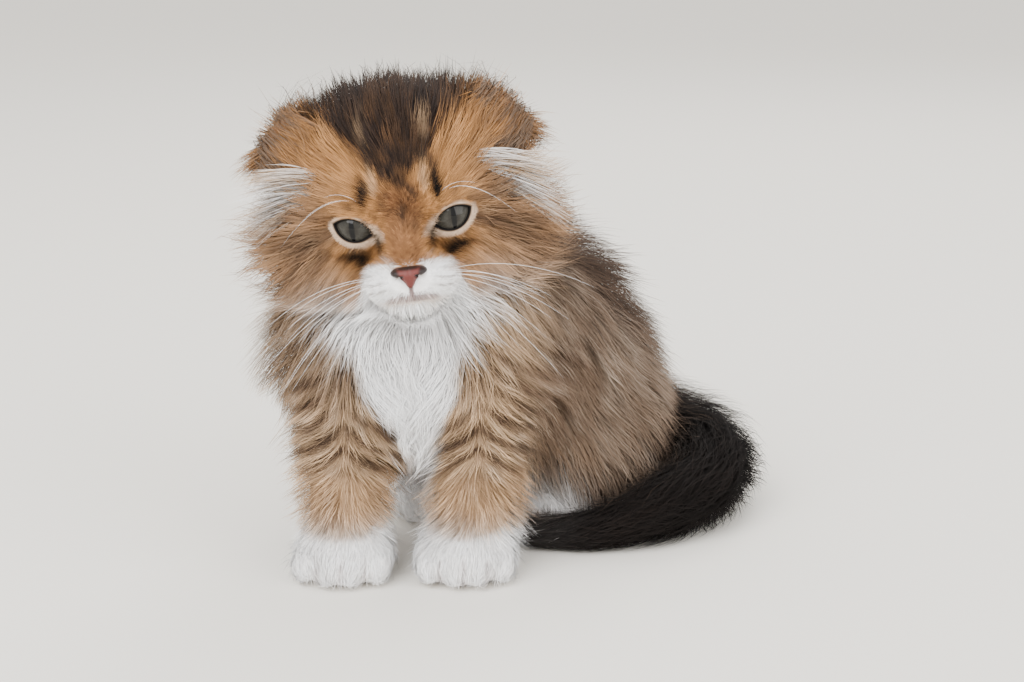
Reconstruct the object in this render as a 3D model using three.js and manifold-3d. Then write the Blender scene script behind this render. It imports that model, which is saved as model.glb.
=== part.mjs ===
// A seated long-haired kitten with folded ears, life size, in millimetres.
// It looks towards -Y, its left side is +X and it rests on the floor at Z = 0.
// Named round forms are blended into head, trunk and limbs, and tapered locks lie over them.
import * as THREE from "three";
import { mergeVertices } from "three/addons/utils/BufferGeometryUtils.js";
import Module from "manifold-3d";

const wasm = await Module();
wasm.setup();

// Driving dimensions
const GAP = 0.35; // clearance between neighbouring nodes
const CORE = 0.45; // how far a node's solid core reaches into its coat, where 1 is the tips
const HEAD_AT = [-2.2, -30, 140.7]; // the middle of the eye line, inside the skull
const HEAD_PITCH = 5; // degrees that the face looks down
const HEAD_ROLL = -7; // degrees, the left ear higher
const HEAD_YAW = 2.5; // degrees, the face turned to its left
const EYE_SIDE = 16.5; // from the middle of the face to an eye's centre
const EYE_DEPTH = 21.5;
const EYE_RADIUS = 9.2;
const EYE_TURN = 9; // degrees that each eye looks outward
const EYE_OPENING = { halfWidth: 7.9, upper: 4.5, lower: 4.7, slant: 20 };
const LID_THICK = 1.1;
const PAW_SIDE = 23.2;
const PAW_Y = -44;
const FOOT_HEIGHT = 8.5;
const WRIST_HEIGHT = 17;
const TAIL_RADIUS = { root: 14, tip: 5, coat: 8.5 };
const TAIL_PARTS = [0, 0.4, 0.7, 1];
const VERTEX_STEP = 0.001; // vertices nearer than this are one
const TOLERANCES = [0.1, 0.09, 0.11, 0.08, 0.12, 0.07, 0.13, 0.06];

// Small helpers
const vec = (a) => new THREE.Vector3(...a);
const clamp = (x, low, high) => Math.min(high, Math.max(low, x));
const mix = (a, b, t) => a + (b - a) * t;
const smooth = (x, low, high) => THREE.MathUtils.smoothstep(x, low, high);
const degrees = THREE.MathUtils.degToRad;
const SIDES = [-1, 1]; // the kitten's right, then its left
const WAY = { left: 1, right: -1 };

// The head's own frame: x to the kitten's left, -y out of the face, z up
const headFrame = new THREE.Matrix4().compose(
  vec(HEAD_AT),
  new THREE.Quaternion().setFromEuler(
    new THREE.Euler(degrees(HEAD_PITCH), degrees(HEAD_ROLL), degrees(HEAD_YAW), "ZYX"),
  ),
  vec([1, 1, 1]),
);
const floorFrame = new THREE.Matrix4();

// A round form: its centre, the flesh's three radii and the coat's depth over each of them
function ball(frame, centre, radii, coat, turn = 0) {
  const own = new THREE.Matrix4().makeRotationZ(degrees(turn)).setPosition(...centre);
  const back = new THREE.Matrix4().multiplyMatrices(frame, own).invert();
  const depth = Array.isArray(coat) ? coat : [coat, coat, coat];
  const local = new THREE.Vector3();
  return (p, share) => {
    local.copy(p).applyMatrix4(back);
    const [a, b, c] = radii.map((r, i) => r + share * depth[i]);
    const near = Math.hypot(local.x / a, local.y / b, local.z / c);
    const steep = Math.hypot(local.x / (a * a), local.y / (b * b), local.z / (c * c));
    return steep < 1e-9 ? -Math.min(a, b, c) : (near * (near - 1)) / steep;
  };
}

// A tapered limb from one point to another
function limb(from, to, radii, coats) {
  const start = vec(from);
  const along = vec(to).sub(start);
  const q = new THREE.Vector3();
  return (p, share) => {
    const t = clamp(q.copy(p).sub(start).dot(along) / along.lengthSq(), 0, 1);
    const radius = mix(radii[0] + share * coats[0], radii[1] + share * coats[1], t);
    return q.addScaledVector(along, -t).length() - radius;
  };
}

// Forms joined with a rounded crease of the given width
function blend(forms, crease) {
  return (p, share) => {
    let d = forms[0](p, share);
    for (const form of forms.slice(1)) {
      const e = form(p, share);
      const h = Math.max(crease - Math.abs(d - e), 0) / crease;
      d = Math.min(d, e) - (h * h * crease) / 4;
    }
    return d;
  };
}

// three.js geometry as a solid
function solidOf(geometry, tolerance = 1e-4) {
  const bare = geometry.index ? geometry.toNonIndexed() : geometry.clone();
  const points = new THREE.BufferGeometry().setAttribute("position", bare.getAttribute("position"));
  const merged = mergeVertices(points, tolerance);
  return new wasm.Manifold(
    new wasm.Mesh({
      numProp: 3,
      vertProperties: merged.getAttribute("position").array,
      triVerts: new Uint32Array(merged.index.array),
    }),
  );
}
function geometryOf(solid) {
  const { vertProperties, triVerts } = solid.getMesh();
  return new THREE.BufferGeometry()
    .setAttribute("position", new THREE.BufferAttribute(new Float32Array(vertProperties), 3))
    .setIndex(new THREE.BufferAttribute(triVerts, 1));
}
const joined = (solids) => wasm.Manifold.union(solids);

// The largest closed surface of a solid
function largest(solid) {
  const pieces = solid.decompose();
  const sizes = pieces.map((piece) => piece.volume());
  return pieces[sizes.indexOf(Math.max(...sizes))];
}

// Whether each edge of a geometry lies between two faces only, once its vertices are joined
function isClosed(geometry) {
  const index = mergeVertices(geometry, VERTEX_STEP).getIndex().array;
  const uses = new Map();
  index.forEach((a, i) => {
    const b = index[i % 3 === 2 ? i - 2 : i + 1];
    const key = a < b ? `${a} ${b}` : `${b} ${a}`;
    uses.set(key, (uses.get(key) ?? 0) + 1);
  });
  return [...uses.values()].every((count) => count === 2);
}

// A solid's geometry with its flat parts simplified by the first tolerance that leaves it closed
function settled(solid) {
  for (const tolerance of TOLERANCES) {
    let geometry = geometryOf(largest(solid.simplify(tolerance)));
    for (let turn = 0; turn < 4; turn++) {
      geometry = geometryOf(largest(solidOf(geometry, VERTEX_STEP)));
    }
    if (isClosed(geometry)) return geometry;
  }
  throw new Error("no tolerance leaves this node's surface closed");
}

// Each vertex of a geometry moved by a function
function moved(geometry, move) {
  const place = geometry.getAttribute("position");
  const q = new THREE.Vector3();
  for (let i = 0; i < place.count; i++) {
    move(q.fromBufferAttribute(place, i));
    place.setXYZ(i, q.x, q.y, q.z);
  }
  return geometry;
}

// Where a ray from an inner point leaves a field
function edge(field, origin, ray, grown, target) {
  let low = 0;
  let high = 120;
  for (let turn = 0; turn < 22; turn++) {
    const middle = (low + high) / 2;
    const inside = field(target.copy(origin).addScaledVector(ray, middle), CORE) < grown;
    if (inside) low = middle;
    else high = middle;
  }
  return target.copy(origin).addScaledVector(ray, low);
}

// A closed skin pulled from an inner point onto a field, finer on the side that lean points to
function wrap(field, centre, detail, grown, lean = [0, 0, 0]) {
  const origin = vec(centre);
  const ray = new THREE.Vector3();
  const skin = moved(new THREE.IcosahedronGeometry(1, detail), (q) => {
    ray.copy(q).normalize().add(vec(lean)).normalize();
    edge(field, origin, ray, grown, q);
  });
  return solidOf(skin);
}

// The outward direction of a field at a point
function outward(field, p, share) {
  const slope = new THREE.Vector3();
  const q = new THREE.Vector3();
  for (const axis of ["x", "y", "z"]) {
    q.copy(p)[axis] += 0.2;
    const ahead = field(q, share);
    q[axis] -= 0.4;
    slope[axis] = ahead - field(q, share);
  }
  return slope.normalize();
}

// A point moved straight out or in until it lies at a share of the coat
function settle(field, p, share) {
  for (let turn = 0; turn < 4; turn++) {
    p.addScaledVector(outward(field, p, share), clamp(-field(p, share), -6, 6));
  }
  return p;
}

// A repeatable draw between -1 and 1
function draws(seed) {
  let state = seed;
  return () => {
    state = (state * 1664525 + 1013904223) >>> 0;
    return state / 2147483648 - 1;
  };
}

// A round bar bent along a curve, with its radius by place along the bar
function bar(curve, radiusAt, sides, steps, from = 0, to = 1) {
  const up = new THREE.Vector3(0, 0, 1);
  const across = new THREE.Vector3();
  const geometry = moved(new THREE.CylinderGeometry(1, 1, 1, sides, steps), (q) => {
    const t = clamp(mix(from, to, q.y + 0.5), 0, 1);
    const radius = radiusAt(t);
    const { x, z } = q;
    const forward = curve.getTangentAt(t);
    across.crossVectors(up, forward).normalize();
    const lift = new THREE.Vector3().crossVectors(across, forward);
    q.copy(curve.getPointAt(t)).addScaledVector(across, x * radius).addScaledVector(lift, z * radius);
  });
  return solidOf(geometry);
}

// The head: skull, brow, cheeks, bridge of the nose, whisker pads and chin
const onHead = (centre, radii, coat) => ball(headFrame, centre, radii, coat);
const both = (make) => SIDES.map(make);
const headField = blend(
  [
    onHead([0, 6, 8], [33, 33, 30], [13, 7, 10]),
    onHead([0, -13, 6], [26, 16, 17], [3, 2, 3]),
    ...both((s) => onHead([s * 23, 0, -9], [17, 20, 15], [26, 6, 13])),
    ...both((s) => onHead([s * 12, -4, -19], [15, 19, 12], [18, 6, 13])),
    ...both((s) => onHead([s * EYE_SIDE, -EYE_DEPTH, 0], [10.6, 9.8, 9.6], 0.5)),
    onHead([0, -28, -6], [7, 9, 9], 1),
    ...both((s) => onHead([s * 7.2, -33, -19.5], [9, 8.8, 7], 1.5)),
    onHead([0, -30, -26.5], [7.5, 9, 5.5], 2.5),
  ],
  7,
);
const headWrap = (grown) => wrap(headField, [-2, -44, 134], 7, grown, [0, -0.4, 0]);

// The nose leather: a wide upper edge narrowing to a point
const noseField = blend(
  [
    ...both((s) => onHead([s * 3.6, -39.6, -14.8], [3.6, 4, 2.4], 0)),
    onHead([0, -41.2, -15.8], [3.4, 3.6, 3], 0),
    onHead([0, -41, -18.6], [1.9, 3, 2.2], 0),
  ],
  2,
);
const toHead = (solid) => solid.transform(headFrame.elements);
const nostril = (s) => {
  const drop = new THREE.SphereGeometry(1, 8, 6).scale(1.5, 1.6, 0.85);
  return toHead(solidOf(drop.rotateY(s * 0.5).translate(s * 3.1, -43.6, -16.3)));
};
const noseAt = vec([0, -39.5, -16]).applyMatrix4(headFrame).toArray();
const noseSolid = (grown) => wrap(noseField, noseAt, 2, grown);

// An eye, its socket and the almond between its lids
const eyeFrame = (s) =>
  new THREE.Matrix4()
    .makeRotationZ(degrees(s * EYE_TURN))
    .setPosition(s * EYE_SIDE, -EYE_DEPTH, 0)
    .premultiply(headFrame);
function eyeBall(s, radius) {
  return solidOf(new THREE.SphereGeometry(radius, 14, 9)).transform(eyeFrame(s).elements);
}
function eyeAlmond(s) {
  const { halfWidth, upper, lower, slant } = EYE_OPENING;
  const almond = new THREE.Shape();
  almond.moveTo(-halfWidth, 0);
  almond.bezierCurveTo(-halfWidth * 0.55, upper * 1.33, halfWidth * 0.5, upper * 1.33, halfWidth, 0);
  almond.bezierCurveTo(halfWidth * 0.5, -lower * 1.33, -halfWidth * 0.55, -lower * 1.33, -halfWidth, 0);
  const prism = new THREE.ExtrudeGeometry(almond, { depth: 24, bevelEnabled: false, curveSegments: 5 });
  const upright = prism.rotateZ(degrees(s * slant)).rotateX(Math.PI / 2);
  return solidOf(upright).transform(eyeFrame(s).elements);
}

// A folded ear: a sheet that rises from the skull, curls forward and falls over its own cup
const EAR = { halfWidth: 12, rise: 15, curl: 3.8, fall: 12, thick: 2.4 };
function earSolid(s, grown) {
  const { halfWidth, rise, curl, fall, thick } = EAR;
  const bend = Math.PI * curl;
  const whole = rise + bend + fall;
  const out = vec([0.8, 0, 0.6]);
  const along = vec([0.6, 0.1, -0.8]);
  const forward = vec([0, -1, 0]);
  const root = vec([32, -1, 23]);
  const sheet = moved(new THREE.BoxGeometry(2, 1, 1, 6, 14, 1), (q) => {
    const along01 = q.y + 0.5;
    const path = along01 * whole + grown * (Math.round(along01) === along01 ? Math.sign(q.y) : 0);
    const narrow = Math.max(0, (along01 * whole - rise) / (whole - rise)) ** 2.2;
    const width = halfWidth * Math.sqrt(1.04 - narrow) + grown;
    const angle = clamp((path - rise) / curl, 0, Math.PI);
    const level = Math.min(path, rise) - Math.max(0, path - rise - bend);
    const offset = (q.z + 0.5) * (thick + 2 * grown) - grown;
    const radius = curl - offset;
    const side = q.x * width;
    const bow = (side / halfWidth) ** 2;
    const lift = level + radius * Math.sin(angle) - 4 * bow;
    const reach = curl - radius * Math.cos(angle) + 2 * bow;
    q.copy(root).addScaledVector(along, side).addScaledVector(out, lift).addScaledVector(forward, reach);
  });
  const left = solidOf(sheet);
  return toHead(s > 0 ? left : left.mirror([1, 0, 0]));
}

// A point on the head's surface, found from in front
function onFace(x, z, depth = 0) {
  const q = new THREE.Vector3();
  let low = -70;
  let high = -10;
  for (let turn = 0; turn < 22; turn++) {
    const y = (low + high) / 2;
    const outside = headField(q.set(x, y, z).applyMatrix4(headFrame), CORE) > -depth;
    if (outside) low = y;
    else high = y;
  }
  return q.clone();
}

// The line of the mouth and the groove from it up to the nose
function mouthSolid() {
  const lip = new THREE.CatmullRomCurve3(
    [-11, -8, -4, 0, 4, 8, 11].map((x) => onFace(x, -22.6 - 0.01 * x * x, 0.1)),
  );
  const cleft = new THREE.CatmullRomCurve3([-22.8, -21.5, -20].map((z) => onFace(0, z, 0.1)));
  const across = bar(lip, (t) => 0.9 * Math.sin(Math.PI * mix(0.12, 0.88, t)), 6, 12);
  return joined([across, bar(cleft, () => 0.6, 6, 3)]);
}

// The trunk: ruff, chest, back and seat
const onBody = (centre, radii, coat, turn = 0) => ball(floorFrame, centre, radii, coat, turn);
const neckField = onBody([2, -12, 106], [27, 24, 24], [35, 16, 16]);
const trunkField = blend(
  [
    onBody([-1, -18, 80], [32, 27, 36], [29, 14, 10]),
    onBody([24, 8, 86], [34, 32, 34], 15),
    onBody([40, 28, 78], [34, 34, 34], 13),
    onBody([52, 42, 46], [40, 40, 42], 15),
  ],
  16,
);

// The limbs
const legField = (s) => limb([1 + s * 25, -30, 66], [s * 24 - 2, -42, 12], [12, 11], [12, 8]);
const THIGH_AT = { left: [68, 30, 35], right: [12, 50, 35] };
const thighs = {
  left: onBody(THIGH_AT.left, [26, 32, 32], 12, -30),
  right: onBody(THIGH_AT.right, [24, 30, 30], 10, -30),
};

// A paw: a low mound with four toes
function pawField(x, y, turn, length, width) {
  const frame = new THREE.Matrix4().makeRotationZ(degrees(turn)).setPosition(x, y, FOOT_HEIGHT);
  const toes = [-1.5, -0.5, 0.5, 1.5].map((step) => {
    const ahead = Math.abs(step) > 1 ? 0.42 : 0.6;
    const centre = [step * width * 0.5, -length * ahead, -2];
    return ball(frame, centre, [width * 0.25, length * 0.42, FOOT_HEIGHT * 0.66], 1.5);
  });
  return blend([ball(frame, [0, 0, 0], [width, length, FOOT_HEIGHT + 2], 2), ...toes], 2);
}
const paws = {
  front_paw_left: pawField(PAW_SIDE - 3.5, PAW_Y, 4, 17, 18),
  front_paw_right: pawField(-PAW_SIDE - 2.5, PAW_Y, -4, 17, 18),
  hind_paw_left: pawField(52, 7, -18, 17, 12.5),
  hind_paw_right: pawField(4, 22, -22, 17, 12.5),
};
const pawCentres = {
  front_paw_left: [PAW_SIDE - 3.5, PAW_Y, 6],
  front_paw_right: [-PAW_SIDE - 2.5, PAW_Y, 6],
  hind_paw_left: [52, 7, 6],
  hind_paw_right: [4, 22, 6],
};

// The tail's centre line, from the rump round the left hip to the paws
const tailReach = (t, share) =>
  mix(TAIL_RADIUS.root, TAIL_RADIUS.tip, smooth(t, 0.35, 1)) +
  TAIL_RADIUS.coat * Math.sin(Math.PI * mix(0.35, 0.94, t)) * share;
const tailLine = new THREE.CatmullRomCurve3(
  [
    [62, 62, 16],
    [88, 79, 8],
    [110, 66, 0],
    [120, 41, 0],
    [114, 12, 0],
    [94, -9, 0],
    [70, -18, 0],
    [47, -16, 0],
  ].map(([x, y, raised], i) => new THREE.Vector3(x, y, raised + tailReach(i / 7, 1) * 0.9)),
);
function tailSolid(part, grown) {
  const trim = (GAP / 2 - grown) / tailLine.getLength();
  const from = TAIL_PARTS[part] + trim;
  const to = TAIL_PARTS[part + 1] - trim;
  return bar(tailLine, (t) => tailReach(t, CORE) + grown, 9, 5, from, to);
}

const tailMarks = Array.from({ length: 41 }, (_, i) => tailLine.getPointAt(i / 40));
function tailField(p, share) {
  let nearest = Infinity;
  tailMarks.forEach((mark, i) => {
    nearest = Math.min(nearest, mark.distanceTo(p) - tailReach(i / 40, share));
  });
  return nearest;
}

// The whole coat, over which locks lie
const fields = {
  head: headField,
  neck: neckField,
  torso: trunkField,
  front_leg_left: legField(1),
  front_leg_right: legField(-1),
  ...paws,
  thigh_left: thighs.left,
  thigh_right: thighs.right,
  tail: tailField,
};
const wholeField = blend(Object.values(fields), 5);

// The coat of all nodes but one
function fieldBeside(name) {
  const others = Object.keys(fields).filter((key) => key !== name);
  return blend(others.map((key) => fields[key]), 1);
}

// A lock's centre line and normals: it leaves the core, lies along the coat and ends at the tips
function lockPath(root, lie, length, bend, shares) {
  const q = root.clone();
  const normal = outward(wholeField, q, CORE);
  const way = lie.clone();
  const stations = [{ place: q.clone().addScaledVector(normal, -2.5), normal: normal.clone() }];
  for (const share of shares) {
    way.addScaledVector(normal, -way.dot(normal)).normalize().applyAxisAngle(normal, bend);
    q.addScaledVector(way, length / shares.length);
    settle(wholeField, q, share);
    q.z = Math.max(q.z, 1.8);
    normal.copy(outward(wholeField, q, share));
    stations.push({ place: q.clone(), normal: normal.clone() });
  }
  return stations;
}

// A flat lock that tapers to its tip along such a line
function lockSolid({ stations, wide, thick }, grown) {
  const last = stations.length - 1;
  const flat = moved(new THREE.ConeGeometry(1, 1, 3, last), (q) => {
    const k = Math.round((q.y + 0.5) * last);
    const { place, normal } = stations[k];
    const before = stations[Math.max(0, k - 1)].place;
    const after = stations[Math.min(last, k + 1)].place;
    const along = after.clone().sub(before).normalize();
    if (k === last) {
      q.copy(place).addScaledVector(along, grown * 8);
      return;
    }
    const across = new THREE.Vector3().crossVectors(along, normal).normalize();
    const over = new THREE.Vector3().crossVectors(across, along);
    const radius = 1 - k / last;
    const full = 0.7 + 0.3 * Math.sin((Math.PI * k) / last);
    const side = (q.x / radius) * (full * wide + grown * 2);
    const lift = (q.z / radius) * (full * thick + grown * 2);
    q.copy(place).addScaledVector(across, side).addScaledVector(over, lift);
  });
  return solidOf(flat);
}

// Whether a lock stays outside the other nodes' cores and doesn't fold over
function liesClear(stations, others) {
  return stations.slice(1).every(({ place, normal }, i) => {
    return others(place, CORE) > 0.5 && normal.dot(stations[i].normal) > 0.62;
  });
}

// Even places over a node's core, seen from a centre inside it, that no other node covers
function rootsOver(name, { centre, count, keep }) {
  const others = fieldBeside(name);
  const origin = vec(centre);
  const roots = [];
  for (let i = 0; i < count; i++) {
    const height = 1 - (2 * i + 1) / count;
    const turn = i * 2.39996;
    const flat = Math.sqrt(1 - height * height);
    const ray = new THREE.Vector3(flat * Math.cos(turn), flat * Math.sin(turn), height);
    const place = edge(fields[name], origin, ray, 0, new THREE.Vector3());
    if (others(place, CORE) > 0.6 && place.z > 5 && keep(place)) roots.push(place);
  }
  return roots;
}

// Patches of coat: where locks grow, which way they lie, and their length and half width
const SHORT = [0.72, 1.04];
const LONG = [0.68, 0.92, 1.05];
const headCentre = vec([0, -6, 2]).applyMatrix4(headFrame).toArray();
const intoHead = headFrame.clone().invert();
const onHeadAt = (p) => p.clone().applyMatrix4(intoHead);
const legPatch = (s) => ({
  node: s > 0 ? "front_leg_left" : "front_leg_right",
  centre: [s * 25, -36, 40],
  count: 26,
  keep: (p) => p.z > WRIST_HEIGHT + 12,
  lie: (p) => vec([(p.x - s * 25) * 0.02, 0.15, -1]),
  length: () => 20,
  wide: 7,
  shares: SHORT,
});
const patches = [
  {
    node: "head",
    centre: headCentre,
    count: 70,
    keep: (p) => onHeadAt(p).z > 22 + onHeadAt(p).y * 0.3 && Math.abs(onHeadAt(p).x) < 32,
    lie: (p) => onHeadAt(p).sub(vec([0, -44, -4])).transformDirection(headFrame),
    length: () => 23,
    wide: 7,
    shares: SHORT,
  },
  {
    node: "head",
    centre: headCentre,
    count: 78,
    keep: (p) => {
      const { x, y, z } = onHeadAt(p);
      const crown = z > 22 + y * 0.3 && Math.abs(x) < 32;
      return !crown && (y > -14 || Math.abs(x) > 29);
    },
    lie: (p) => {
      const local = onHeadAt(p);
      const low = smooth(-local.z, -20, 10);
      local.sub(vec([0, -30, -12])).add(vec([0, 14, -26 * low]));
      return local.transformDirection(headFrame);
    },
    length: (p) => mix(18, 26, smooth(Math.abs(p.x + 2), 18, 45)),
    wide: 7.5,
    shares: LONG,
  },
  {
    node: "neck",
    centre: [2, -14, 104],
    count: 70,
    keep: (p) => p.y < 20 && p.z > 84,
    lie: (p) => vec([(p.x - 2) * 0.02, p.y > 0 ? 0.6 : -0.05, -1]),
    length: () => 30,
    wide: 8,
    shares: LONG,
  },
  {
    node: "torso",
    centre: [0, -16, 74],
    count: 74,
    keep: (p) => p.z > 40 && p.y < -4 && p.x < 34,
    lie: (p) => vec([p.x * 0.012, 0, -1]),
    length: () => 30,
    wide: 8.5,
    shares: LONG,
  },
  {
    node: "torso",
    centre: [42, 26, 62],
    count: 78,
    keep: (p) => p.z > 20 && (p.y >= -4 || p.x >= 34),
    lie: (p) => vec([p.x * 0.005, smooth(p.y, -20, 40) * 0.7, -1]),
    length: () => 33,
    wide: 10,
    shares: LONG,
  },
  legPatch(1),
  legPatch(-1),
  {
    node: "thigh_left",
    centre: [68, 30, 35],
    count: 40,
    keep: (p) => p.z > 12,
    lie: () => vec([0.3, 0.2, -1]),
    length: () => 26,
    wide: 9,
    shares: LONG,
  },
  {
    node: "thigh_right",
    centre: [12, 50, 35],
    count: 24,
    keep: (p) => p.z > 12,
    lie: () => vec([-0.3, 0.5, -1]),
    length: () => 26,
    wide: 9,
    shares: LONG,
  },
];

// Every lock of a node, kept as sizes so that it can also be grown by a clearance
const LOCK_THICK = 0.22; // of its half width
const locks = Object.fromEntries(Object.keys(fields).map((name) => [name, []]));
patches.forEach((patch, i) => {
  const draw = draws(101 + 37 * i);
  const others = fieldBeside(patch.node);
  for (const root of rootsOver(patch.node, patch)) {
    const lie = patch.lie(root).applyAxisAngle(outward(wholeField, root, CORE), 0.15 * draw());
    const length = patch.length(root) * (1 + 0.18 * draw());
    const wide = patch.wide * (1 + 0.2 * draw());
    const stations = lockPath(root, lie, length, 0.12 * draw(), patch.shares);
    if (liesClear(stations, others)) {
      locks[patch.node].push({ stations, wide, thick: wide * LOCK_THICK });
    }
  }
});
const lockSolids = (name, grown) => locks[name].map((lock) => lockSolid(lock, grown));

// Long tufts that spread out of each ear's cup, the upper ones rising
const TUFT = { rows: 3, spacing: 6, length: 29, wide: 4.6, rise: 0.45, fan: 0.38, droop: 3, sunk: 3 };
function tuftLock(s, row) {
  const foot = vec([s * 35, -12, 15 - TUFT.spacing * row]).applyMatrix4(headFrame);
  settle(headField, foot, CORE);
  foot.addScaledVector(outward(headField, foot, CORE), -TUFT.sunk);
  const way = vec([s * 0.95, 0, TUFT.rise - TUFT.fan * row]).transformDirection(headFrame);
  const normal = vec([s * 0.3, -1, 0]).transformDirection(headFrame);
  const stations = [0, 1 / 3, 2 / 3, 1].map((t) => {
    const place = foot.clone().addScaledVector(way, TUFT.length * t);
    place.z -= TUFT.droop * t * t;
    return { place, normal };
  });
  return { stations, wide: TUFT.wide, thick: TUFT.wide * 0.3 };
}
for (let row = 0; row < TUFT.rows; row++) locks.head.push(...both((s) => tuftLock(s, row)));

// The tail's locks stand round its line and lie towards its tip
const TAIL_LOCKS = { rows: 8, round: 5, length: 34, wide: 9 };
const tailParts = TAIL_PARTS.slice(1).map(() => []);
const tailDraw = draws(71);
const besideTail = fieldBeside("tail");
for (let i = 0; i < TAIL_LOCKS.rows * TAIL_LOCKS.round; i++) {
  const row = Math.floor(i / TAIL_LOCKS.round);
  const t = (row + 0.5 + 0.3 * tailDraw()) / TAIL_LOCKS.rows;
  const angle = ((i + row / 2) / TAIL_LOCKS.round) * 2 * Math.PI + 0.2 * tailDraw();
  const size = (1 + 0.2 * tailDraw()) * mix(1, 0.6, smooth(t, 0.6, 1));
  const forward = tailLine.getTangentAt(t);
  const across = new THREE.Vector3().crossVectors(vec([0, 0, 1]), forward).normalize();
  const root = tailLine.getPointAt(t).addScaledVector(across, Math.cos(angle) * tailReach(t, CORE));
  root.z += Math.sin(angle) * tailReach(t, CORE);
  const stations = lockPath(root, forward, TAIL_LOCKS.length * size, 0.12 * tailDraw(), SHORT);
  const wide = TAIL_LOCKS.wide * size;
  const clear = root.z > 4 && liesClear(stations, besideTail);
  const part = TAIL_PARTS.findIndex((end) => end > t) - 1;
  if (clear) tailParts[part].push({ stations, wide, thick: wide * LOCK_THICK });
}
const tailNode = (part, grown) =>
  joined([tailSolid(part, grown), ...tailParts[part].map((lock) => lockSolid(lock, grown))]);

// Every node: its solid, grown by a little where it clears a neighbour, first ones keeping their form
const makers = {
  eye_left: (grown) => eyeBall(1, EYE_RADIUS + grown),
  eye_right: (grown) => eyeBall(-1, EYE_RADIUS + grown),
  nose: (grown) => noseSolid(grown),
  ear_left: (grown) => earSolid(1, grown),
  ear_right: (grown) => earSolid(-1, grown),
  head: (grown) => headSolid(grown),
  tail_tip: (grown) => tailNode(2, grown),
  tail_middle: (grown) => tailNode(1, grown),
  tail_base: (grown) => tailNode(0, grown),
  front_paw_left: (grown) => pawSolid("front_paw_left", 4, grown),
  front_paw_right: (grown) => pawSolid("front_paw_right", 4, grown),
  hind_paw_left: (grown) => pawSolid("hind_paw_left", 3, grown),
  hind_paw_right: (grown) => pawSolid("hind_paw_right", 3, grown),
  neck: (grown) => joined([wrap(neckField, [2, -12, 106], 3, grown), ...lockSolids("neck", grown)]),
  front_leg_left: (grown) => legSolid(1, grown),
  front_leg_right: (grown) => legSolid(-1, grown),
  thigh_left: (grown) => thighSolid("left", [0.9, -0.4, 0.1], grown),
  thigh_right: (grown) => thighSolid("right", [-0.95, 0.3, 0], grown),
  torso: (grown) => joined([wrap(trunkField, [28, 12, 66], 4, grown), ...lockSolids("torso", grown)]),
};

// The head with a rim of lid round each eye
function headSolid(grown) {
  const lids = both((s) => eyeBall(s, EYE_RADIUS + LID_THICK));
  return joined([headWrap(grown), ...lids, ...lockSolids("head", grown)]);
}

// A paw ends above at its wrist
function pawSolid(name, detail, grown) {
  const core = wrap(paws[name], pawCentres[name], detail, grown, [0, -0.2, 0]);
  return core.trimByPlane([0, 0, -1], -WRIST_HEIGHT - grown);
}

// A thigh keeps the part of its round form that stands out of the trunk
function thighSolid(side, away, grown) {
  const name = `thigh_${side}`;
  const facing = vec(away).normalize();
  const centre = THIGH_AT[side];
  const inner = facing.dot(vec(centre)) + 2 - grown;
  const core = wrap(thighs[side], centre, 3, grown).trimByPlane(facing.toArray(), inner);
  return joined([core, ...lockSolids(name, grown)]);
}

// A front leg ends above in the chest, along a slant, and below at its wrist
function legSolid(s, grown) {
  const slant = vec([s * 0.25, -0.7, -0.66]).normalize();
  const core = wrap(legField(s), [s * 25, -36, 40], 4, grown)
    .trimByPlane([0, 0, 1], WRIST_HEIGHT + GAP - grown)
    .trimByPlane(slant.toArray(), slant.dot(vec([s * 25, -37, 52])) - grown);
  return joined([core, ...lockSolids(s > 0 ? "front_leg_left" : "front_leg_right", grown)]);
}

// Cuts that only one node has
const openings = {
  head: () => [eyeAlmond(1), eyeAlmond(-1), mouthSolid()],
  nose: () => [nostril(1), nostril(-1)],
};

const COLOURS = {
  eye: 0x5a5340,
  nose: 0xa0524a,
  ear: 0x5f4636,
  head: 0xa5835f,
  neck: 0xd8cfc6,
  torso: 0x9a7f68,
  front_leg: 0xc4a88e,
  front_paw: 0xe9e6e6,
  hind_paw: 0xe9e6e6,
  thigh: 0x8c715d,
  tail: 0x2d2220,
};

// The nodes, each cut clear of the grown form of those before it
const kitten = new THREE.Group();
const grownBefore = [];
const finished = [];
for (const [name, make] of Object.entries(makers)) {
  const cuts = [...grownBefore, ...(openings[name]?.() ?? [])];
  let solid = make(0).trimByPlane([0, 0, 1], 0);
  if (cuts.length) solid = solid.subtract(joined(cuts));
  // A twisted lock can stand out of its own grown form, so a finished node that is still met is cut too
  const met = finished.filter((other) => solid.intersect(other).volume() > 0.001);
  if (met.length) solid = solid.subtract(joined(met));
  const geometry = settled(largest(solid));
  grownBefore.push(make(GAP));
  finished.push(solidOf(geometry));
  const kind = Object.keys(COLOURS).find((key) => name.startsWith(key));
  const material = new THREE.MeshStandardMaterial({ color: COLOURS[kind], roughness: 0.9 });
  const mesh = new THREE.Mesh(geometry, material);
  mesh.name = name;
  kitten.add(mesh);
}

// The origin is the middle of the whole kitten's box, at floor level
const box = new THREE.Box3().setFromObject(kitten);
const middle = box.getCenter(new THREE.Vector3());
const whole = (x) => Math.round(x / VERTEX_STEP) * VERTEX_STEP;
kitten.position.set(-whole(middle.x), -whole(middle.y), -whole(box.min.z));

export default kitten;
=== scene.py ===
"""A seated long-haired kitten with folded ears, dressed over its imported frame.

Lengths inside the script are in millimetres in the kitten's own frame: x to its left, -y out of
its chest and z up from the floor. Meshes are written in metres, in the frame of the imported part.
"""

from __future__ import annotations

import itertools
import logging
import math
from dataclasses import dataclass
from enum import Enum
from typing import Callable, Sequence

import bmesh
import bpy
import numpy as np
from mathutils import Euler, Matrix, Vector
from mathutils.kdtree import KDTree


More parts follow.
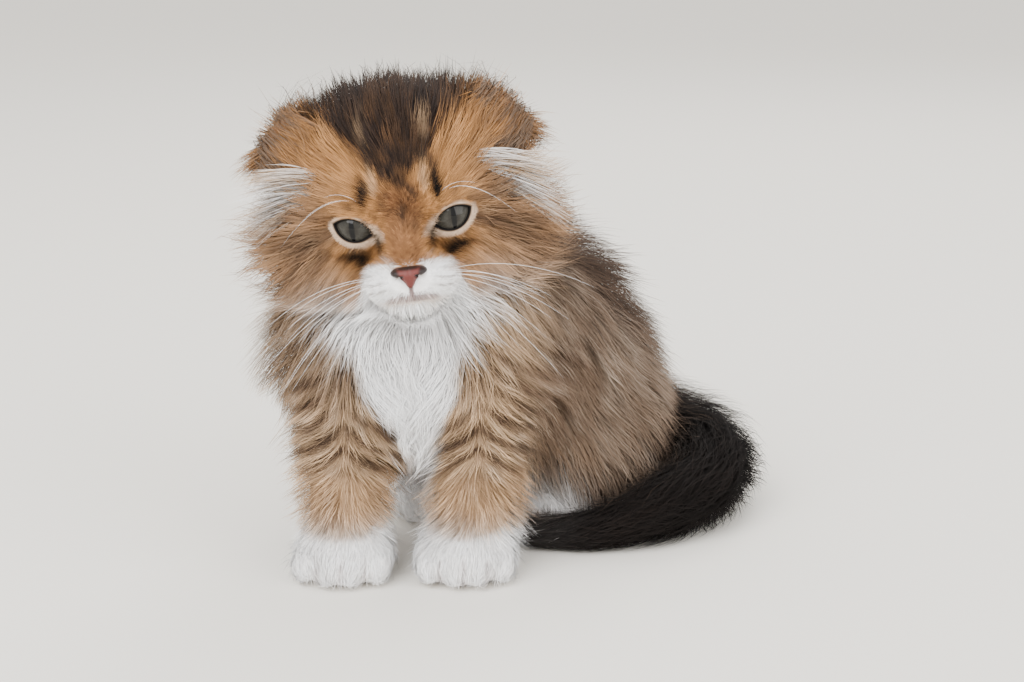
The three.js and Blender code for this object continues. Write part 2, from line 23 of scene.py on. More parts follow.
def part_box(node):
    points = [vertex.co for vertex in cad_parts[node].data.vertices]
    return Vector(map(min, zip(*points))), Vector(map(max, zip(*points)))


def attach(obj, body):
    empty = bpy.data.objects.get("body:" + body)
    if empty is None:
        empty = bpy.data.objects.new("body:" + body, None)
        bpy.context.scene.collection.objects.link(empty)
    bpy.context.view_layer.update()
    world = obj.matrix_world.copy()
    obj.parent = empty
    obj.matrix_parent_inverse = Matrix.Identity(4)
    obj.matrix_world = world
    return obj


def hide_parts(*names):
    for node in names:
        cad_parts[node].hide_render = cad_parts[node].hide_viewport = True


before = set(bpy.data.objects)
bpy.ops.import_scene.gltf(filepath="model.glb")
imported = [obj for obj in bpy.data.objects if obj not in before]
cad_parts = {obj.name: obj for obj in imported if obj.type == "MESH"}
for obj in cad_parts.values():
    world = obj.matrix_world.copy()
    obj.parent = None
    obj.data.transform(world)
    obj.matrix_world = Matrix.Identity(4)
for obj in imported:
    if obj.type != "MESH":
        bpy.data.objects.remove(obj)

LOG = logging.getLogger("kitten")
Array = np.ndarray
MM = 0.001

HEAD_AT = np.array([-2.2, -30.0, 140.7])
HEAD_TURN = np.array(
    Euler((math.radians(5), math.radians(-7), math.radians(2.5)), "XYZ").to_matrix()
)
EYE_AT = (16.5, -21.5, 0.0)
EYE_RADIUS = 9.2
EYE_TURN = 9.0
SIDES = (-1, 1)
SKIN_SHARE = 0.22
FLOOR_CLEAR = 0.4
LEVEL_EYE = 19.5
MOUTH = -24.2


def srgb(red: float, green: float, blue: float) -> Array:
    """Return the linear colour of an everyday 0 to 255 one."""
    c = np.array([red, green, blue]) / 255
    return np.where(c <= 0.04045, c / 12.92, ((c + 0.055) / 1.055) ** 2.4)


def smooth(x: Array | float, low: float, high: float) -> Array:
    """Return a smooth step from 0 at low to 1 at high."""
    t = np.clip((np.asarray(x, float) - low) / (high - low), 0, 1)
    return t * t * (3 - 2 * t)


def fade(x: Array | float, low: float, high: float) -> Array:
    """Return a smooth step from 1 at low to 0 at high."""
    return 1 - smooth(x, low, high)


def mix(a: Array, b: Array, t: Array | float) -> Array:
    """Return a where t is 0 and b where t is 1."""
    t = np.asarray(t, float)
    t = t[:, None] if t.ndim == 1 and np.shape(b)[-1:] == (3,) else t
    return a + (b - a) * t


def paint(base: Array, colour: Array, mask: Array) -> Array:
    """Return rows of colours with another colour laid over them by a mask."""
    return base + (colour - base) * np.clip(mask, 0, 1)[:, None]


def unit(v: Array) -> Array:
    """Return rows of vectors made one long."""
    return v / np.maximum(np.linalg.norm(v, axis=-1, keepdims=True), 1e-9)


def noise(points: Array, size: float, seed: int) -> Array:
    """Return smooth repeatable noise.

    Args:
        points: Rows of places.
        size: The width of a bump, in the same measure.
        seed: Which noise it is.

    Returns:
        A value between -1 and 1 for each place.
    """
    q = points / size
    cell = np.floor(q).astype(np.int64)
    f = q - cell
    f = f * f * (3 - 2 * f)
    total = np.zeros(len(points))
    for corner in itertools.product((0, 1), repeat=3):
        c = cell + np.array(corner)
        h = (c[:, 0] * 374761393 + c[:, 1] * 668265263 + c[:, 2] * 974634777 + seed * 1274126177)
        h &= 0xFFFFFFFF
        h = ((h ^ (h >> 13)) * 1274126177) & 0xFFFFFFFF
        value = ((h ^ (h >> 16)) & 0xFFFF) / 32767.5 - 1
        total += value * np.prod(np.where(corner, f, 1 - f), axis=1)
    return total


def to_head(points: Array) -> Array:
    """Return places in the head's own frame."""
    return (points - HEAD_AT) @ HEAD_TURN


def from_head(points: Array) -> Array:
    """Return places of the head's own frame in the kitten's."""
    return np.asarray(points, float) @ HEAD_TURN.T + HEAD_AT


def eye_centre(side: int) -> Array:
    """Return an eye's centre in the head's frame."""
    return np.array([side * EYE_AT[0], EYE_AT[1], EYE_AT[2]])


def turned(p: Array, degrees: float) -> Array:
    """Return places as they are seen from a frame turned about the upright axis."""
    c, s = math.cos(math.radians(degrees)), math.sin(math.radians(degrees))
    return np.stack([c * p[:, 0] + s * p[:, 1], -s * p[:, 0] + c * p[:, 1], p[:, 2]], axis=1)


@dataclass(frozen=True)
class Ball:
    """A round form: the flesh's three radii and the coat's depth over each."""

    centre: tuple[float, float, float]
    radii: tuple[float, float, float]
    coat: tuple[float, float, float]
    turn: float = 0.0

    def value(self, points: Array, share: Array) -> Array:
        """Return how far outside the form each place is, at its share of the coat."""
        p = points - np.array(self.centre)
        if self.turn:
            p = turned(p, self.turn)
        radii = np.array(self.radii) + share[:, None] * np.array(self.coat)
        scaled = p / radii
        near = np.sqrt((scaled**2).sum(1))
        steep = np.sqrt(((scaled / radii) ** 2).sum(1))
        return near * (near - 1) / np.maximum(steep, 1e-6)


@dataclass(frozen=True)
class Limb:
    """A tapered limb between two points."""

    start: tuple[float, float, float]
    end: tuple[float, float, float]
    radii: tuple[float, float]
    coats: tuple[float, float]

    def value(self, points: Array, share: Array) -> Array:
        """Return how far outside the limb each place is, at its share of the coat."""
        along = np.array(self.end) - np.array(self.start)
        p = points - np.array(self.start)
        t = np.clip(p @ along / (along @ along), 0, 1)
        radius = mix(self.radii[0], self.radii[1], t) + share * mix(self.coats[0], self.coats[1], t)
        return np.linalg.norm(p - t[:, None] * along, axis=1) - radius


def tail_reach(t: Array, share: Array | float) -> Array:
    """Return the tail's radius by place along it and share of its coat."""
    flesh = 14 + (5 - 14) * smooth(t, 0.35, 1)
    return flesh + 8.5 * np.sin(np.pi * (0.35 + 0.59 * np.asarray(t))) * share


class TailLine:
    """The tail's centre line, from inside the rump round the left hip to the paws."""

    def __init__(self, steps: int = 61) -> None:
        """Lay the line through its places, evenly along its length."""
        places = [(62, 62, 16), (88, 79, 8), (110, 66, 0), (120, 41, 0)]
        places += [(114, 12, 0), (94, -9, 0), (70, -18, 0), (47, -16, 0)]
        knots = np.array(places, float)
        knots[:, 2] += tail_reach(np.arange(8) / 7, 1.0) * 0.9
        fine = self._through(knots, 60)
        run = np.r_[0, np.cumsum(np.linalg.norm(np.diff(fine, axis=0), axis=1))]
        self.t = np.linspace(0, 1, steps)
        self.places = np.stack([np.interp(self.t * run[-1], run, fine[:, i]) for i in range(3)], 1)
        self.ways = unit(np.gradient(self.places, axis=0))

    @staticmethod
    def _through(knots: Array, steps: int) -> Array:
        """Return a smooth line through knots, as many steps to each."""
        ends = [2 * knots[0] - knots[1], *knots, 2 * knots[-1] - knots[-2]]
        out = []
        for a, b, c, d in zip(ends, ends[1:], ends[2:], ends[3:]):
            for u in np.arange(steps) / steps:
                cubic = (-a + 3 * b - 3 * c + d) * u**3 + (2 * a - 5 * b + 4 * c - d) * u**2
                out.append(0.5 * (cubic + (c - a) * u + 2 * b))
        return np.array([*out, knots[-1]])

    def nearest(self, points: Array) -> tuple[Array, Array]:
        """Return the place along the line nearest to each point, and the way the line runs."""
        gaps = np.linalg.norm(points[:, None] - self.places[None], axis=2)
        gaps -= tail_reach(self.t, 0.5)[None]
        k = gaps.argmin(1)
        return self.t[k], self.ways[k]

    def value(self, points: Array, share: Array) -> Array:
        """Return how far outside the tail each place is, at its share of the coat."""
        best = np.full(len(points), np.inf)
        for t, place in zip(self.t, self.places):
            radius = tail_reach(t, share)
            best = np.minimum(best, np.linalg.norm(points - place, axis=1) - radius)
        return best


def blended(values: Sequence[Array], crease: float) -> Array:
    """Return the values of forms joined with a rounded crease."""
    d = values[0]
    for e in values[1:]:
        h = np.maximum(crease - np.abs(d - e), 0) / crease
        d = np.minimum(d, e) - h * h * crease / 4
    return d


def paw_forms(x: float, y: float, turn: float, length: float, width: float) -> list[Ball]:
    """Return a paw's mound and four toes, as the frame has them."""
    height = 8.5
    forms = [Ball((x, y, height), (width, length, height + 2), (2, 2, 2), turn)]
    c, s = math.cos(math.radians(turn)), math.sin(math.radians(turn))
    for step in (-1.5, -0.5, 0.5, 1.5):
        dx, dy = step * width * 0.5, -length * (0.42 if abs(step) > 1 else 0.6)
        centre = (x + c * dx - s * dy, y + s * dx + c * dy, height - 2)
        radii = (width * 0.25, length * 0.42, height * 0.66)
        forms.append(Ball(centre, radii, (1.5, 1.5, 1.5), turn))
    return forms


class Group(Enum):
    """The kitten's parts, in the order that the body joins them."""

    HEAD = 0
    NECK = 1
    TORSO = 2
    LEGS = 3
    FRONT_PAWS = 4
    HIND_PAWS = 5
    THIGHS = 6
    TAIL = 7


class Body:
    """The whole kitten as blended forms, where share 0 is the flesh and 1 the tips of the coat."""

    def __init__(self) -> None:
        """Gather the forms of each group."""
        self.tail = TailLine()
        self.head_forms = self._head()
        self.creases = {
            Group.HEAD: 7.0,
            Group.NECK: 5.0,
            Group.TORSO: 16.0,
            Group.LEGS: 2.0,
            Group.FRONT_PAWS: 2.0,
            Group.HIND_PAWS: 2.0,
            Group.THIGHS: 2.0,
            Group.TAIL: 2.0,
        }
        self.forms = {
            Group.HEAD: self.head_forms,
            Group.NECK: [Ball((2, -12, 106), (27, 24, 24), (35, 16, 16))],
            Group.TORSO: [
                Ball((-1, -18, 80), (32, 27, 36), (29, 14, 10)),
                Ball((24, 8, 86), (34, 32, 34), (19, 15, 19)),
                Ball((40, 28, 78), (34, 34, 34), (18, 15, 18)),
                Ball((52, 42, 46), (40, 40, 42), (15, 15, 15)),
            ],
            Group.LEGS: [
                Limb((1 + s * 25, -30, 66), (s * 24 - 2, -42, 12), (12, 11), (12, 8)) for s in SIDES
            ],
            Group.FRONT_PAWS: paw_forms(19.7, -44, 4, 17, 18) + paw_forms(-25.7, -44, -4, 17, 18),
            Group.HIND_PAWS: paw_forms(52, 7, -18, 17, 12.5) + paw_forms(4, 22, -22, 17, 12.5),
            Group.THIGHS: [
                Ball((68, 30, 35), (26, 32, 32), (12, 12, 12), -30),
                Ball((12, 50, 35), (24, 30, 30), (10, 10, 10), -30),
            ],
            Group.TAIL: [self.tail],
        }

    @staticmethod
    def _head() -> list[Ball]:
        """Return skull, brow, cheeks, orbits, bridge, whisker pads and chin, in the head's frame."""
        forms = [
            Ball((0, 6, 8), (33, 33, 30), (13, 7, 10)),
            Ball((0, -13, 6), (26, 16, 17), (3, 2, 3)),
        ]
        forms += [Ball((s * 23, 0, -9), (17, 20, 15), (26, 6, 13)) for s in SIDES]
        forms += [Ball((s * 12, -4, -19), (15, 19, 12), (18, 6, 13)) for s in SIDES]
        forms += [Ball((s * 16.5, -21.5, 0), (10.6, 9.8, 9.6), (0.5, 0.5, 0.5)) for s in SIDES]
        forms += [Ball((s * 30, 6, 24), (6, 5, 6), (15, 7, 15)) for s in SIDES]
        forms.append(Ball((0, -28, -6), (7, 9, 9), (1, 1, 1)))
        forms += [Ball((s * 7.2, -33, -19.5), (9, 8.8, 7), (1.5, 1.5, 1.5)) for s in SIDES]
        forms.append(Ball((0, -30, -26.5), (7.5, 9, 5.5), (2.5, 2.5, 2.5)))
        return forms

    def groups(self, points: Array, share: Array | float) -> Array:
        """Return each group's value at each place, one row a group."""
        share = np.broadcast_to(np.asarray(share, float), (len(points),))
        local = to_head(points)
        rows = []
        for group in Group:
            where = local if group is Group.HEAD else points
            values = [form.value(where, share) for form in self.forms[group]]
            rows.append(blended(values, self.creases[group]))
        return np.array(rows)

    def value(self, points: Array, share: Array | float) -> Array:
        """Return how far outside the whole body each place is."""
        return blended(list(self.groups(points, share)), 5.0)

    def outward(self, points: Array, share: Array | float) -> Array:
        """Return the body's outward direction at each place."""
        here = self.value(points, share)
        slope = [self.value(points + step, share) - here for step in np.eye(3) * 0.3]
        return unit(np.stack(slope, axis=1))

    def settle(self, points: Array, share: Array | float, turns: int) -> tuple[Array, Array]:
        """Move places straight out or in to a share of the coat.

        Args:
            points: Rows of places.
            share: The share of the coat they end at.
            turns: How often the step is repeated.

        Returns:
            The moved places and the outward direction at each.
        """
        way = self.outward(points, share)
        for _ in range(turns):
            points = points - way * np.clip(self.value(points, share), -8, 8)[:, None]
        return points, way

    def weights(self, points: Array) -> Array:
        """Return how much each place belongs to each group, one column a group."""
        rows = self.groups(points, 0.5)
        shares = np.exp(-np.clip(rows - rows.min(0), 0, 60) / 2.5)
        return (shares / shares.sum(0)).T


class Almond:
    """The opening between the lids, in an eye's own frame."""

    HALF_WIDTH = 7.9
    UPPER = 4.5
    LOWER = 4.7
    SLANT = 20.0

    def __init__(self) -> None:
        """Work out the opening's reach by direction."""
        t = np.linspace(0, 1, 60)
        hw = self.HALF_WIDTH
        across = (1 - t) ** 3 * -hw + 3 * (1 - t) ** 2 * t * -0.55 * hw
        across = across + 3 * (1 - t) * t * t * 0.5 * hw + t**3 * hw
        bulge = 3 * (1 - t) * t * 1.33
        upper = np.stack([across, bulge * self.UPPER], axis=1)
        lower = np.stack([across, -bulge * self.LOWER], axis=1)
        rim = np.concatenate([upper, lower[::-1]])
        order = np.argsort(np.arctan2(rim[:, 1], rim[:, 0]))
        self.angle = np.arctan2(rim[:, 1], rim[:, 0])[order]
        self.reach = np.hypot(rim[:, 0], rim[:, 1])[order]

    def radius(self, angle: Array) -> Array:
        """Return how far the opening's rim is in a direction."""
        wrapped = (angle + np.pi) % (2 * np.pi) - np.pi
        return np.interp(wrapped, self.angle, self.reach, period=2 * np.pi)

    def eye_local(self, local: Array, side: int) -> Array:
        """Return places of the head's frame in an eye's own frame."""
        return turned(local - eye_centre(side), side * EYE_TURN)

    def from_eye(self, places: Array, side: int) -> Array:
        """Return places of an eye's own frame in the kitten's frame."""
        return from_head(turned(places, -side * EYE_TURN) + eye_centre(side))

    def scale(self, local: Array) -> Array:
        """Return how far out of the nearest opening each place lies, where 1 is its rim."""
        best = np.full(len(local), 9.0)
        for side in SIDES:
            p = self.eye_local(local, side)
            angle = np.arctan2(p[:, 2], p[:, 0]) - math.radians(side * self.SLANT)
            angle = angle if side > 0 else np.pi - angle
            value = np.hypot(p[:, 0], p[:, 2]) / self.radius(angle)
            best = np.minimum(best, np.where(p[:, 1] < 2, value, 9.0))
        return best


BODY = Body()
ALMOND = Almond()


WHITE = srgb(255, 253, 252)
CREAM = srgb(238, 222, 204)
GOLD = srgb(172, 123, 76)
STRAW = srgb(188, 156, 122)
RUST = srgb(126, 87, 58)
TAN = srgb(138, 112, 90)
UMBER = srgb(104, 86, 72)
BROWN = srgb(78, 60, 47)
SABLE = srgb(38, 29, 25)
BLACK = srgb(13, 10, 9)
RING = srgb(198, 172, 148)
LIP = srgb(128, 96, 92)


def spot(x: Array, y: Array, centre: Sequence[float], size: Sequence[float]) -> Array:
    """Return a soft oval mask."""
    r = np.hypot((x - centre[0]) / size[0], (y - centre[1]) / size[1])
    return 1 - smooth(r, 0.6, 1.35)


class HeadPlaces:
    """Places on the head, as its markings measure them."""

    def __init__(self, local: Array) -> None:
        """Measure each place once: across, up the level face, and its noises."""
        tilt = math.radians(LEVEL_EYE)
        self.local = local
        self.x, self.y, self.z = np.abs(local[:, 0]), local[:, 1], local[:, 2]
        self.up = self.z * math.cos(tilt) + (self.y + 30) * math.sin(tilt)
        self.front = fade(self.y, -16, 0)
        self.rough = noise(local, 5, 11)
        self.tick = noise(local * np.array([1, 0.6, 0.6]), 2.6, 12)
        self.eye = ALMOND.scale(local)


class Markings:
    """The colours that skin and coat share, from named patches and stripes.

    A patch is a centre and a size, both across and up.
    """

    TEMPLE = (38, 6), (13, 4)
    CROWN_STREAK = (11.5, 35), (1.6, 6)
    BROW_STREAK = (9.8, 16.5), (1.8, 5.5)
    BROW_MARK = (14.2, 13.5), (2.3, 7.0)
    SMUDGE = (19.6, -10.2), (6.4, 2.5)
    TEAR_LINE = (10.1, -6.5), (1.3, 4)
    WHISKER_ROWS = (14, -19), (5.5, 4.5)
    ROW_PITCH = 3.0
    CROWN_LEVELS = (8, 14, 22, 33, 50, 64)
    CROWN_HALF = (-4, 4, 11, 19, 42, 60)
    RIM_BELOW, RIM_ABOVE = 1.43, 1.05
    BIB_LEVELS = (38, 47, 60, 74, 86, 97, 112)
    BIB_CENTRE = (2, 2.3, 3, 0, -1, -4, -2)
    BIB_HALF = (5, 5, 8, 17, 20, 27, 42)
    LEG_OUT = 24.5
    BAND_PITCH = 8.2
    PAW_MIDDLE, PAW_OUT, TOE_OUT = -3, 22.7, 9

    def head(self, local: Array) -> Array:
        """Return the head's colours.

        Args:
            local: Places in the head's own frame.

        Returns:
            Rows of linear colours.
        """
        p = HeadPlaces(local)
        colour = np.tile(GOLD, (len(local), 1))
        for step in (self._cheeks, self._crown, self._round_eyes, self._muzzle):
            colour = step(p, colour)
        return paint(colour, BLACK, fade(p.eye, 0.88, 1.0) * p.front)

    def _cheeks(self, p: HeadPlaces, colour: Array) -> Array:
        """Lay swirled stripes over the cheeks and a red bridge, ticked all over."""
        x, up, rough, tick = p.x, p.up, p.rough, p.tick
        colour = paint(colour, TAN, smooth(x, 20, 38) * 0.6 * fade(up, 16, 30))
        colour = paint(colour, CREAM, 0.22 * smooth(-up, 10, 28) * smooth(x, 16, 30))
        swirl = np.sin(np.arctan2(up - 4, x - 8) * 12 + 2.2 * rough)
        stripes = smooth(swirl, 0.0, 0.9) * smooth(x, 23, 32) * fade(up, 14, 24)
        colour = paint(colour, BROWN, 0.8 * stripes)
        colour = paint(colour, BROWN, 0.75 * spot(x, up + 0.2 * x, *self.TEMPLE))
        colour = paint(colour, RUST, 0.85 * p.front * fade(x, 4, 11) * fade(up, 10, 18))
        dark = smooth(tick, 0.0, 0.6) * (1 + rough) * smooth(x + up, -8, 12)
        colour = paint(colour, BROWN, 0.5 * dark)
        return paint(colour, STRAW, 0.22 * smooth(-tick, 0.1, 0.7) * smooth(x, 12, 30))

    def _crown(self, p: HeadPlaces, colour: Array) -> Array:
        """Lay the dark crown, which narrows to a point between the brows."""
        x, y, up, rough, tick = p.x, p.y, p.up, p.rough, p.tick
        colour = paint(colour, UMBER, 0.85 * smooth(y, 2, 16))
        half = np.interp(up, self.CROWN_LEVELS, self.CROWN_HALF) + 3.5 * rough + 3 * tick
        half = half + 16 * smooth(y, -3, 8) * smooth(up, 12, 26)
        crown = fade(x - half, -4.5, 4)
        colour = paint(colour, SABLE, crown * (1.0 + 0.22 * np.minimum(tick, 0)))
        pale = spot(x, up, *self.CROWN_STREAK) + 1.5 * spot(x, up, *self.BROW_STREAK)
        colour = paint(colour, STRAW, 0.34 * pale)
        grizzle = fade(x, 4, 10) * smooth(up, -6, 8) * fade(up, 14, 22)
        return paint(colour, BROWN, 0.6 * p.front * grizzle * smooth(tick + rough, -0.2, 0.7))

    def _round_eyes(self, p: HeadPlaces, colour: Array) -> Array:
        """Lay the pale ring, the mark over each brow and the dark smudges below."""
        x, up, front = p.x, p.up, p.front
        rim = mix(self.RIM_BELOW, self.RIM_ABOVE, smooth(p.z, -1, 3)) + 0.14 * p.tick
        colour = paint(colour, RING, 0.92 * fade(p.eye - rim, -0.12, 0.18) * front)
        colour = paint(colour, BLACK, spot(x, up, *self.BROW_MARK) * front)
        colour = paint(colour, BLACK, front * spot(x + 1.5 * p.rough, up + p.tick, *self.SMUDGE))
        return paint(colour, BLACK, 0.9 * front * spot(x, up, *self.TEAR_LINE))

    def _muzzle(self, p: HeadPlaces, colour: Array) -> Array:
        """Lay the white muzzle, its rows of whisker roots and the lips."""
        x, z, up, front = p.x, p.z, p.up, p.front
        top = -12.5 - 0.07 * (x - 11) ** 2
        top = np.where(x < 11, np.maximum(top, -17), top)
        top = mix(top, -29.0, smooth(x, 17, 23))
        turn = np.arctan2(up + 15, x) * 8
        fan = noise(np.stack([turn, 0 * x, 0.12 * np.hypot(x, up + 15)], axis=1), 0.6, 13)
        below = fade(up - top + p.rough + 3.2 * fan, -3, 2.4) * fade(p.y, -12, 12)
        colour = paint(colour, WHITE, below * fade(x + 3 * p.rough, 32, 44))
        rows = smooth(np.sin((z + 0.3 * x) * 2 * np.pi / self.ROW_PITCH), 0.3, 0.9)
        colour = paint(colour, UMBER, 0.6 * rows * spot(x, z, *self.WHISKER_ROWS) * front)
        seam = np.abs(z - MOUTH + 0.01 * x * x)
        lips = fade(seam, 0.6, 1.6) * fade(x, 7, 13)
        under = MOUTH - 0.01 * x * x - z
        shadow = smooth(under, 0, 1) * fade(under, 1.5, 4.5) * fade(x, 8, 15)
        colour = paint(colour, RING, 0.6 * front * shadow)
        cleft = fade(x, 0.4, 1.1) * smooth(z, MOUTH - 0.5, MOUTH + 0.5)
        cleft = cleft * fade(z, -20, -18)
        return paint(colour, LIP, 0.85 * front * np.maximum(lips, cleft))

    def body(self, p: Array) -> Array:
        """Return the colours of neck, trunk, legs and thighs."""
        x, y, z = p[:, 0], p[:, 1], p[:, 2]
        rough = noise(p, 9, 21)
        tick = noise(p * np.array([1, 1, 0.4]), 3.4, 22)
        colour = np.tile(STRAW, (len(p), 1))
        side = smooth(x, 34, 54) + smooth(y, -16, 8) + 0.65 * smooth(-x, 14, 28) * smooth(z, 56, 80)
        colour = paint(colour, UMBER, np.clip(side, 0, 1) * 0.95)
        back = smooth(z + 0.5 * y, 70, 106) * smooth(y, -24, 4)
        colour = paint(colour, BROWN, 0.95 * back)
        colour = paint(colour, SABLE, 0.5 * back)
        spine = smooth(z + 0.9 * y, 116, 150) * fade(np.abs(x - 0.9 * y - 2), 12, 26)
        colour = paint(colour, SABLE, 0.85 * spine * smooth(y, -5, 15))
        colour = paint(colour, BROWN, (0.25 + 0.25 * back) * smooth(tick, 0.0, 0.7) * (1 + rough))
        colour = paint(colour, CREAM, 0.22 * smooth(-tick, 0.1, 0.8) * (1 - back))
        colour = self._legs(p, colour, rough, tick)
        return self._below(p, colour, rough)

    def _legs(self, p: Array, colour: Array, rough: Array, tick: Array) -> Array:
        """Lay bands bowed over each front leg and gold over its lower part."""
        x, y, z = p[:, 0], p[:, 1], p[:, 2]
        bow = z + 0.6 * np.abs(np.abs(x - 0.5) - self.LEG_OUT) + 2.2 * rough
        band = smooth(np.sin(bow * 2 * np.pi / self.BAND_PITCH), -0.1, 0.4)
        streak = smooth(noise(np.stack([x * 0.3, y * 0.4, bow], axis=1), 2.4, 23), 0.0, 0.5)
        on_leg = smooth(z, 34, 46) * fade(z, 84, 100) * fade(y, -26, -6)
        colour = paint(colour, BROWN, (0.95 * band + 0.3 * streak) * on_leg * (0.9 + 0.2 * rough))
        low = fade(z, 34, 46) * fade(y, -24, -6)
        colour = paint(colour, GOLD, 0.3 * low)
        return paint(colour, BROWN, 0.35 * low * smooth(rough + tick, 0.2, 1.0))

    def _below(self, p: Array, colour: Array, rough: Array) -> Array:
        """Lay the white bib and socks, the pale belly and the shade between the legs."""
        x, y, z = p[:, 0], p[:, 1], p[:, 2]
        centre = np.interp(z, self.BIB_LEVELS, self.BIB_CENTRE)
        half = np.interp(z, self.BIB_LEVELS, self.BIB_HALF)
        bib = fade(np.abs(x - centre) - half + 3 * rough, -3, 3) * fade(y, -28, -12)
        colour = paint(colour, WHITE, bib * smooth(z, 28, 40))
        belly = fade(z, 24, 42) * fade(np.abs(x - 4 - 0.4 * (y + 40)), 8, 20)
        belly = belly * smooth(y, -30, -16) * fade(y, 8, 26) * smooth(x, 10, 24)
        under = fade(z, 26, 42) * smooth(y, -30, -16) * fade(x, 10, 24)
        colour = paint(colour, UMBER, 0.9 * under)
        colour = paint(colour, CREAM, 0.7 * belly)
        return paint(colour, WHITE, fade(z + 2 * rough, 18, 20.5) - smooth(y, -26, -12))

    def colour(self, points: Array) -> Array:
        """Return the colours at places on or over the body."""
        w = BODY.weights(points)
        t, _ = BODY.tail.nearest(points)
        tick = noise(points, 3.0, 24)
        tail = paint(np.tile(SABLE, (len(points), 1)), BLACK, 0.85 * smooth(t, 0.1, 0.4))
        tail = paint(tail, BROWN, 0.5 * smooth(tick, 0.2, 0.8) * (1 - 0.8 * smooth(t, 0.2, 0.6)))
        paws = w[:, Group.FRONT_PAWS.value] + w[:, Group.HIND_PAWS.value]
        colour = paint(self.body(points), WHITE, paws)
        # Painted shade in the clefts between the toes, low on the front of each front paw.
        beside = np.abs(points[:, 0] - self.PAW_MIDDLE) - self.PAW_OUT
        between = np.minimum(np.abs(beside), np.abs(np.abs(beside) - self.TOE_OUT))
        cleft = fade(between, 0.3, 1.4) * smooth(-points[:, 1], 53, 58)
        colour = paint(colour, LIP, 0.45 * cleft * fade(points[:, 2], 9, 15))
        colour = paint(colour, self.head(to_head(points)), w[:, Group.HEAD.value])
        return paint(colour, tail, w[:, Group.TAIL.value])


MARKINGS = Markings()


def add(tree: bpy.types.NodeTree, kind: str, values: dict[str, float]) -> bpy.types.Node:
    """Return a new node of a tree with some of its inputs set."""
    node = tree.nodes.new(kind)
    for socket, value in values.items():
        node.inputs[socket].default_value = value
    return node


def join(tree: bpy.types.NodeTree, *wires: tuple[bpy.types.Node, str, bpy.types.Node, str]) -> None:
    """Link the nodes of a tree, each wire from a node's output to another's input."""
    for start, out, end, into in wires:
        tree.links.new(start.outputs[out], end.inputs[into])


def tinted(tree: bpy.types.NodeTree, fibres: bpy.types.Node, low: float, high: float) -> bpy.types.Node:
    """Return a node that scales a colour between two strengths by a noise in object space."""
    place = add(tree, "ShaderNodeTexCoord", {})
    shade = add(tree, "ShaderNodeMapRange", {"To Min": low, "To Max": high})
    tint = add(tree, "ShaderNodeVectorMath", {})
    tint.operation = "SCALE"
    join(
        tree,
        (place, "Object", fibres, "Vector"),
        (fibres, "Fac", shade, "Value"),
        (shade, "Result", tint, "Scale"),
    )
    return tint


def begun(name: str, values: dict[str, object]) -> tuple[bpy.types.Material, bpy.types.Node]:
    """Return a new material and its shader, with values set on the shader's own sockets."""
    material = bpy.data.materials.new(name)
    material.use_nodes = True
    shader = material.node_tree.nodes["Principled BSDF"]
    for socket, value in values.items():
        shader.inputs[socket].default_value = value
    return material, shader


def noise_group() -> bpy.types.ShaderNodeTree:
    """Return the shared effect that varies a colour and gives a height of fine hair."""
    found = bpy.data.node_groups.get("hair_grain")
    if found:
        return found
    group = bpy.data.node_groups.new("hair_grain", "ShaderNodeTree")
    sockets = (
        ("Colour", "INPUT", "NodeSocketColor"),
        ("Scale", "INPUT", "NodeSocketFloat"),
        ("Amount", "INPUT", "NodeSocketFloat"),
        ("Colour", "OUTPUT", "NodeSocketColor"),
        ("Height", "OUTPUT", "NodeSocketFloat"),
    )
    for name, way, kind in sockets:
        group.interface.new_socket(name, in_out=way, socket_type=kind)
    start = add(group, "NodeGroupInput", {})
    end = add(group, "NodeGroupOutput", {})
    grain = add(group, "ShaderNodeTexNoise", {"Detail": 4})
    tint = tinted(group, grain, 0.62, 1.28)
    blend = add(group, "ShaderNodeMix", {})
    blend.data_type = "RGBA"
    join(
        group,
        (start, "Scale", grain, "Scale"),
        (start, "Colour", tint, "Vector"),
        (start, "Amount", blend, "Factor"),
        (start, "Colour", blend, "A"),
        (tint, "Vector", blend, "B"),
        (blend, "Result", end, "Colour"),
        (grain, "Fac", end, "Height"),
    )
    return group


@dataclass(frozen=True)
class HairFinish:
    """A finish whose colour comes from the piece's own markings."""

    name: str
    roughness: float = 0.75
    sheen: float = 0.02
    specular: float = 0.1
    grain: float = 900.0
    amount: float = 0.5
    bump: float = 0.0
    SHEEN_ROUGHNESS = 0.5
    RELIEF = 0.0006

    def make(self) -> bpy.types.Material:
        """Return the finish as a material."""
        values = {
            "Roughness": self.roughness,
            "Specular IOR Level": self.specular,
            "Sheen Weight": self.sheen,
            "Sheen Roughness": self.SHEEN_ROUGHNESS,
        }
        material, shader = begun(self.name, values)
        tree = material.node_tree
        marks = add(tree, "ShaderNodeAttribute", {})
        marks.attribute_name = "marks"
        grain = tree.nodes.new("ShaderNodeGroup")
        grain.node_tree = noise_group()
        grain.inputs["Scale"].default_value = self.grain
        grain.inputs["Amount"].default_value = self.amount
        join(tree, (marks, "Color", grain, "Colour"), (grain, "Colour", shader, "Base Color"))
        if self.bump:
            depth = {"Strength": self.bump, "Distance": self.RELIEF}
            relief = add(tree, "ShaderNodeBump", depth)
            join(tree, (grain, "Height", relief, "Height"), (relief, "Normal", shader, "Normal"))
        return material


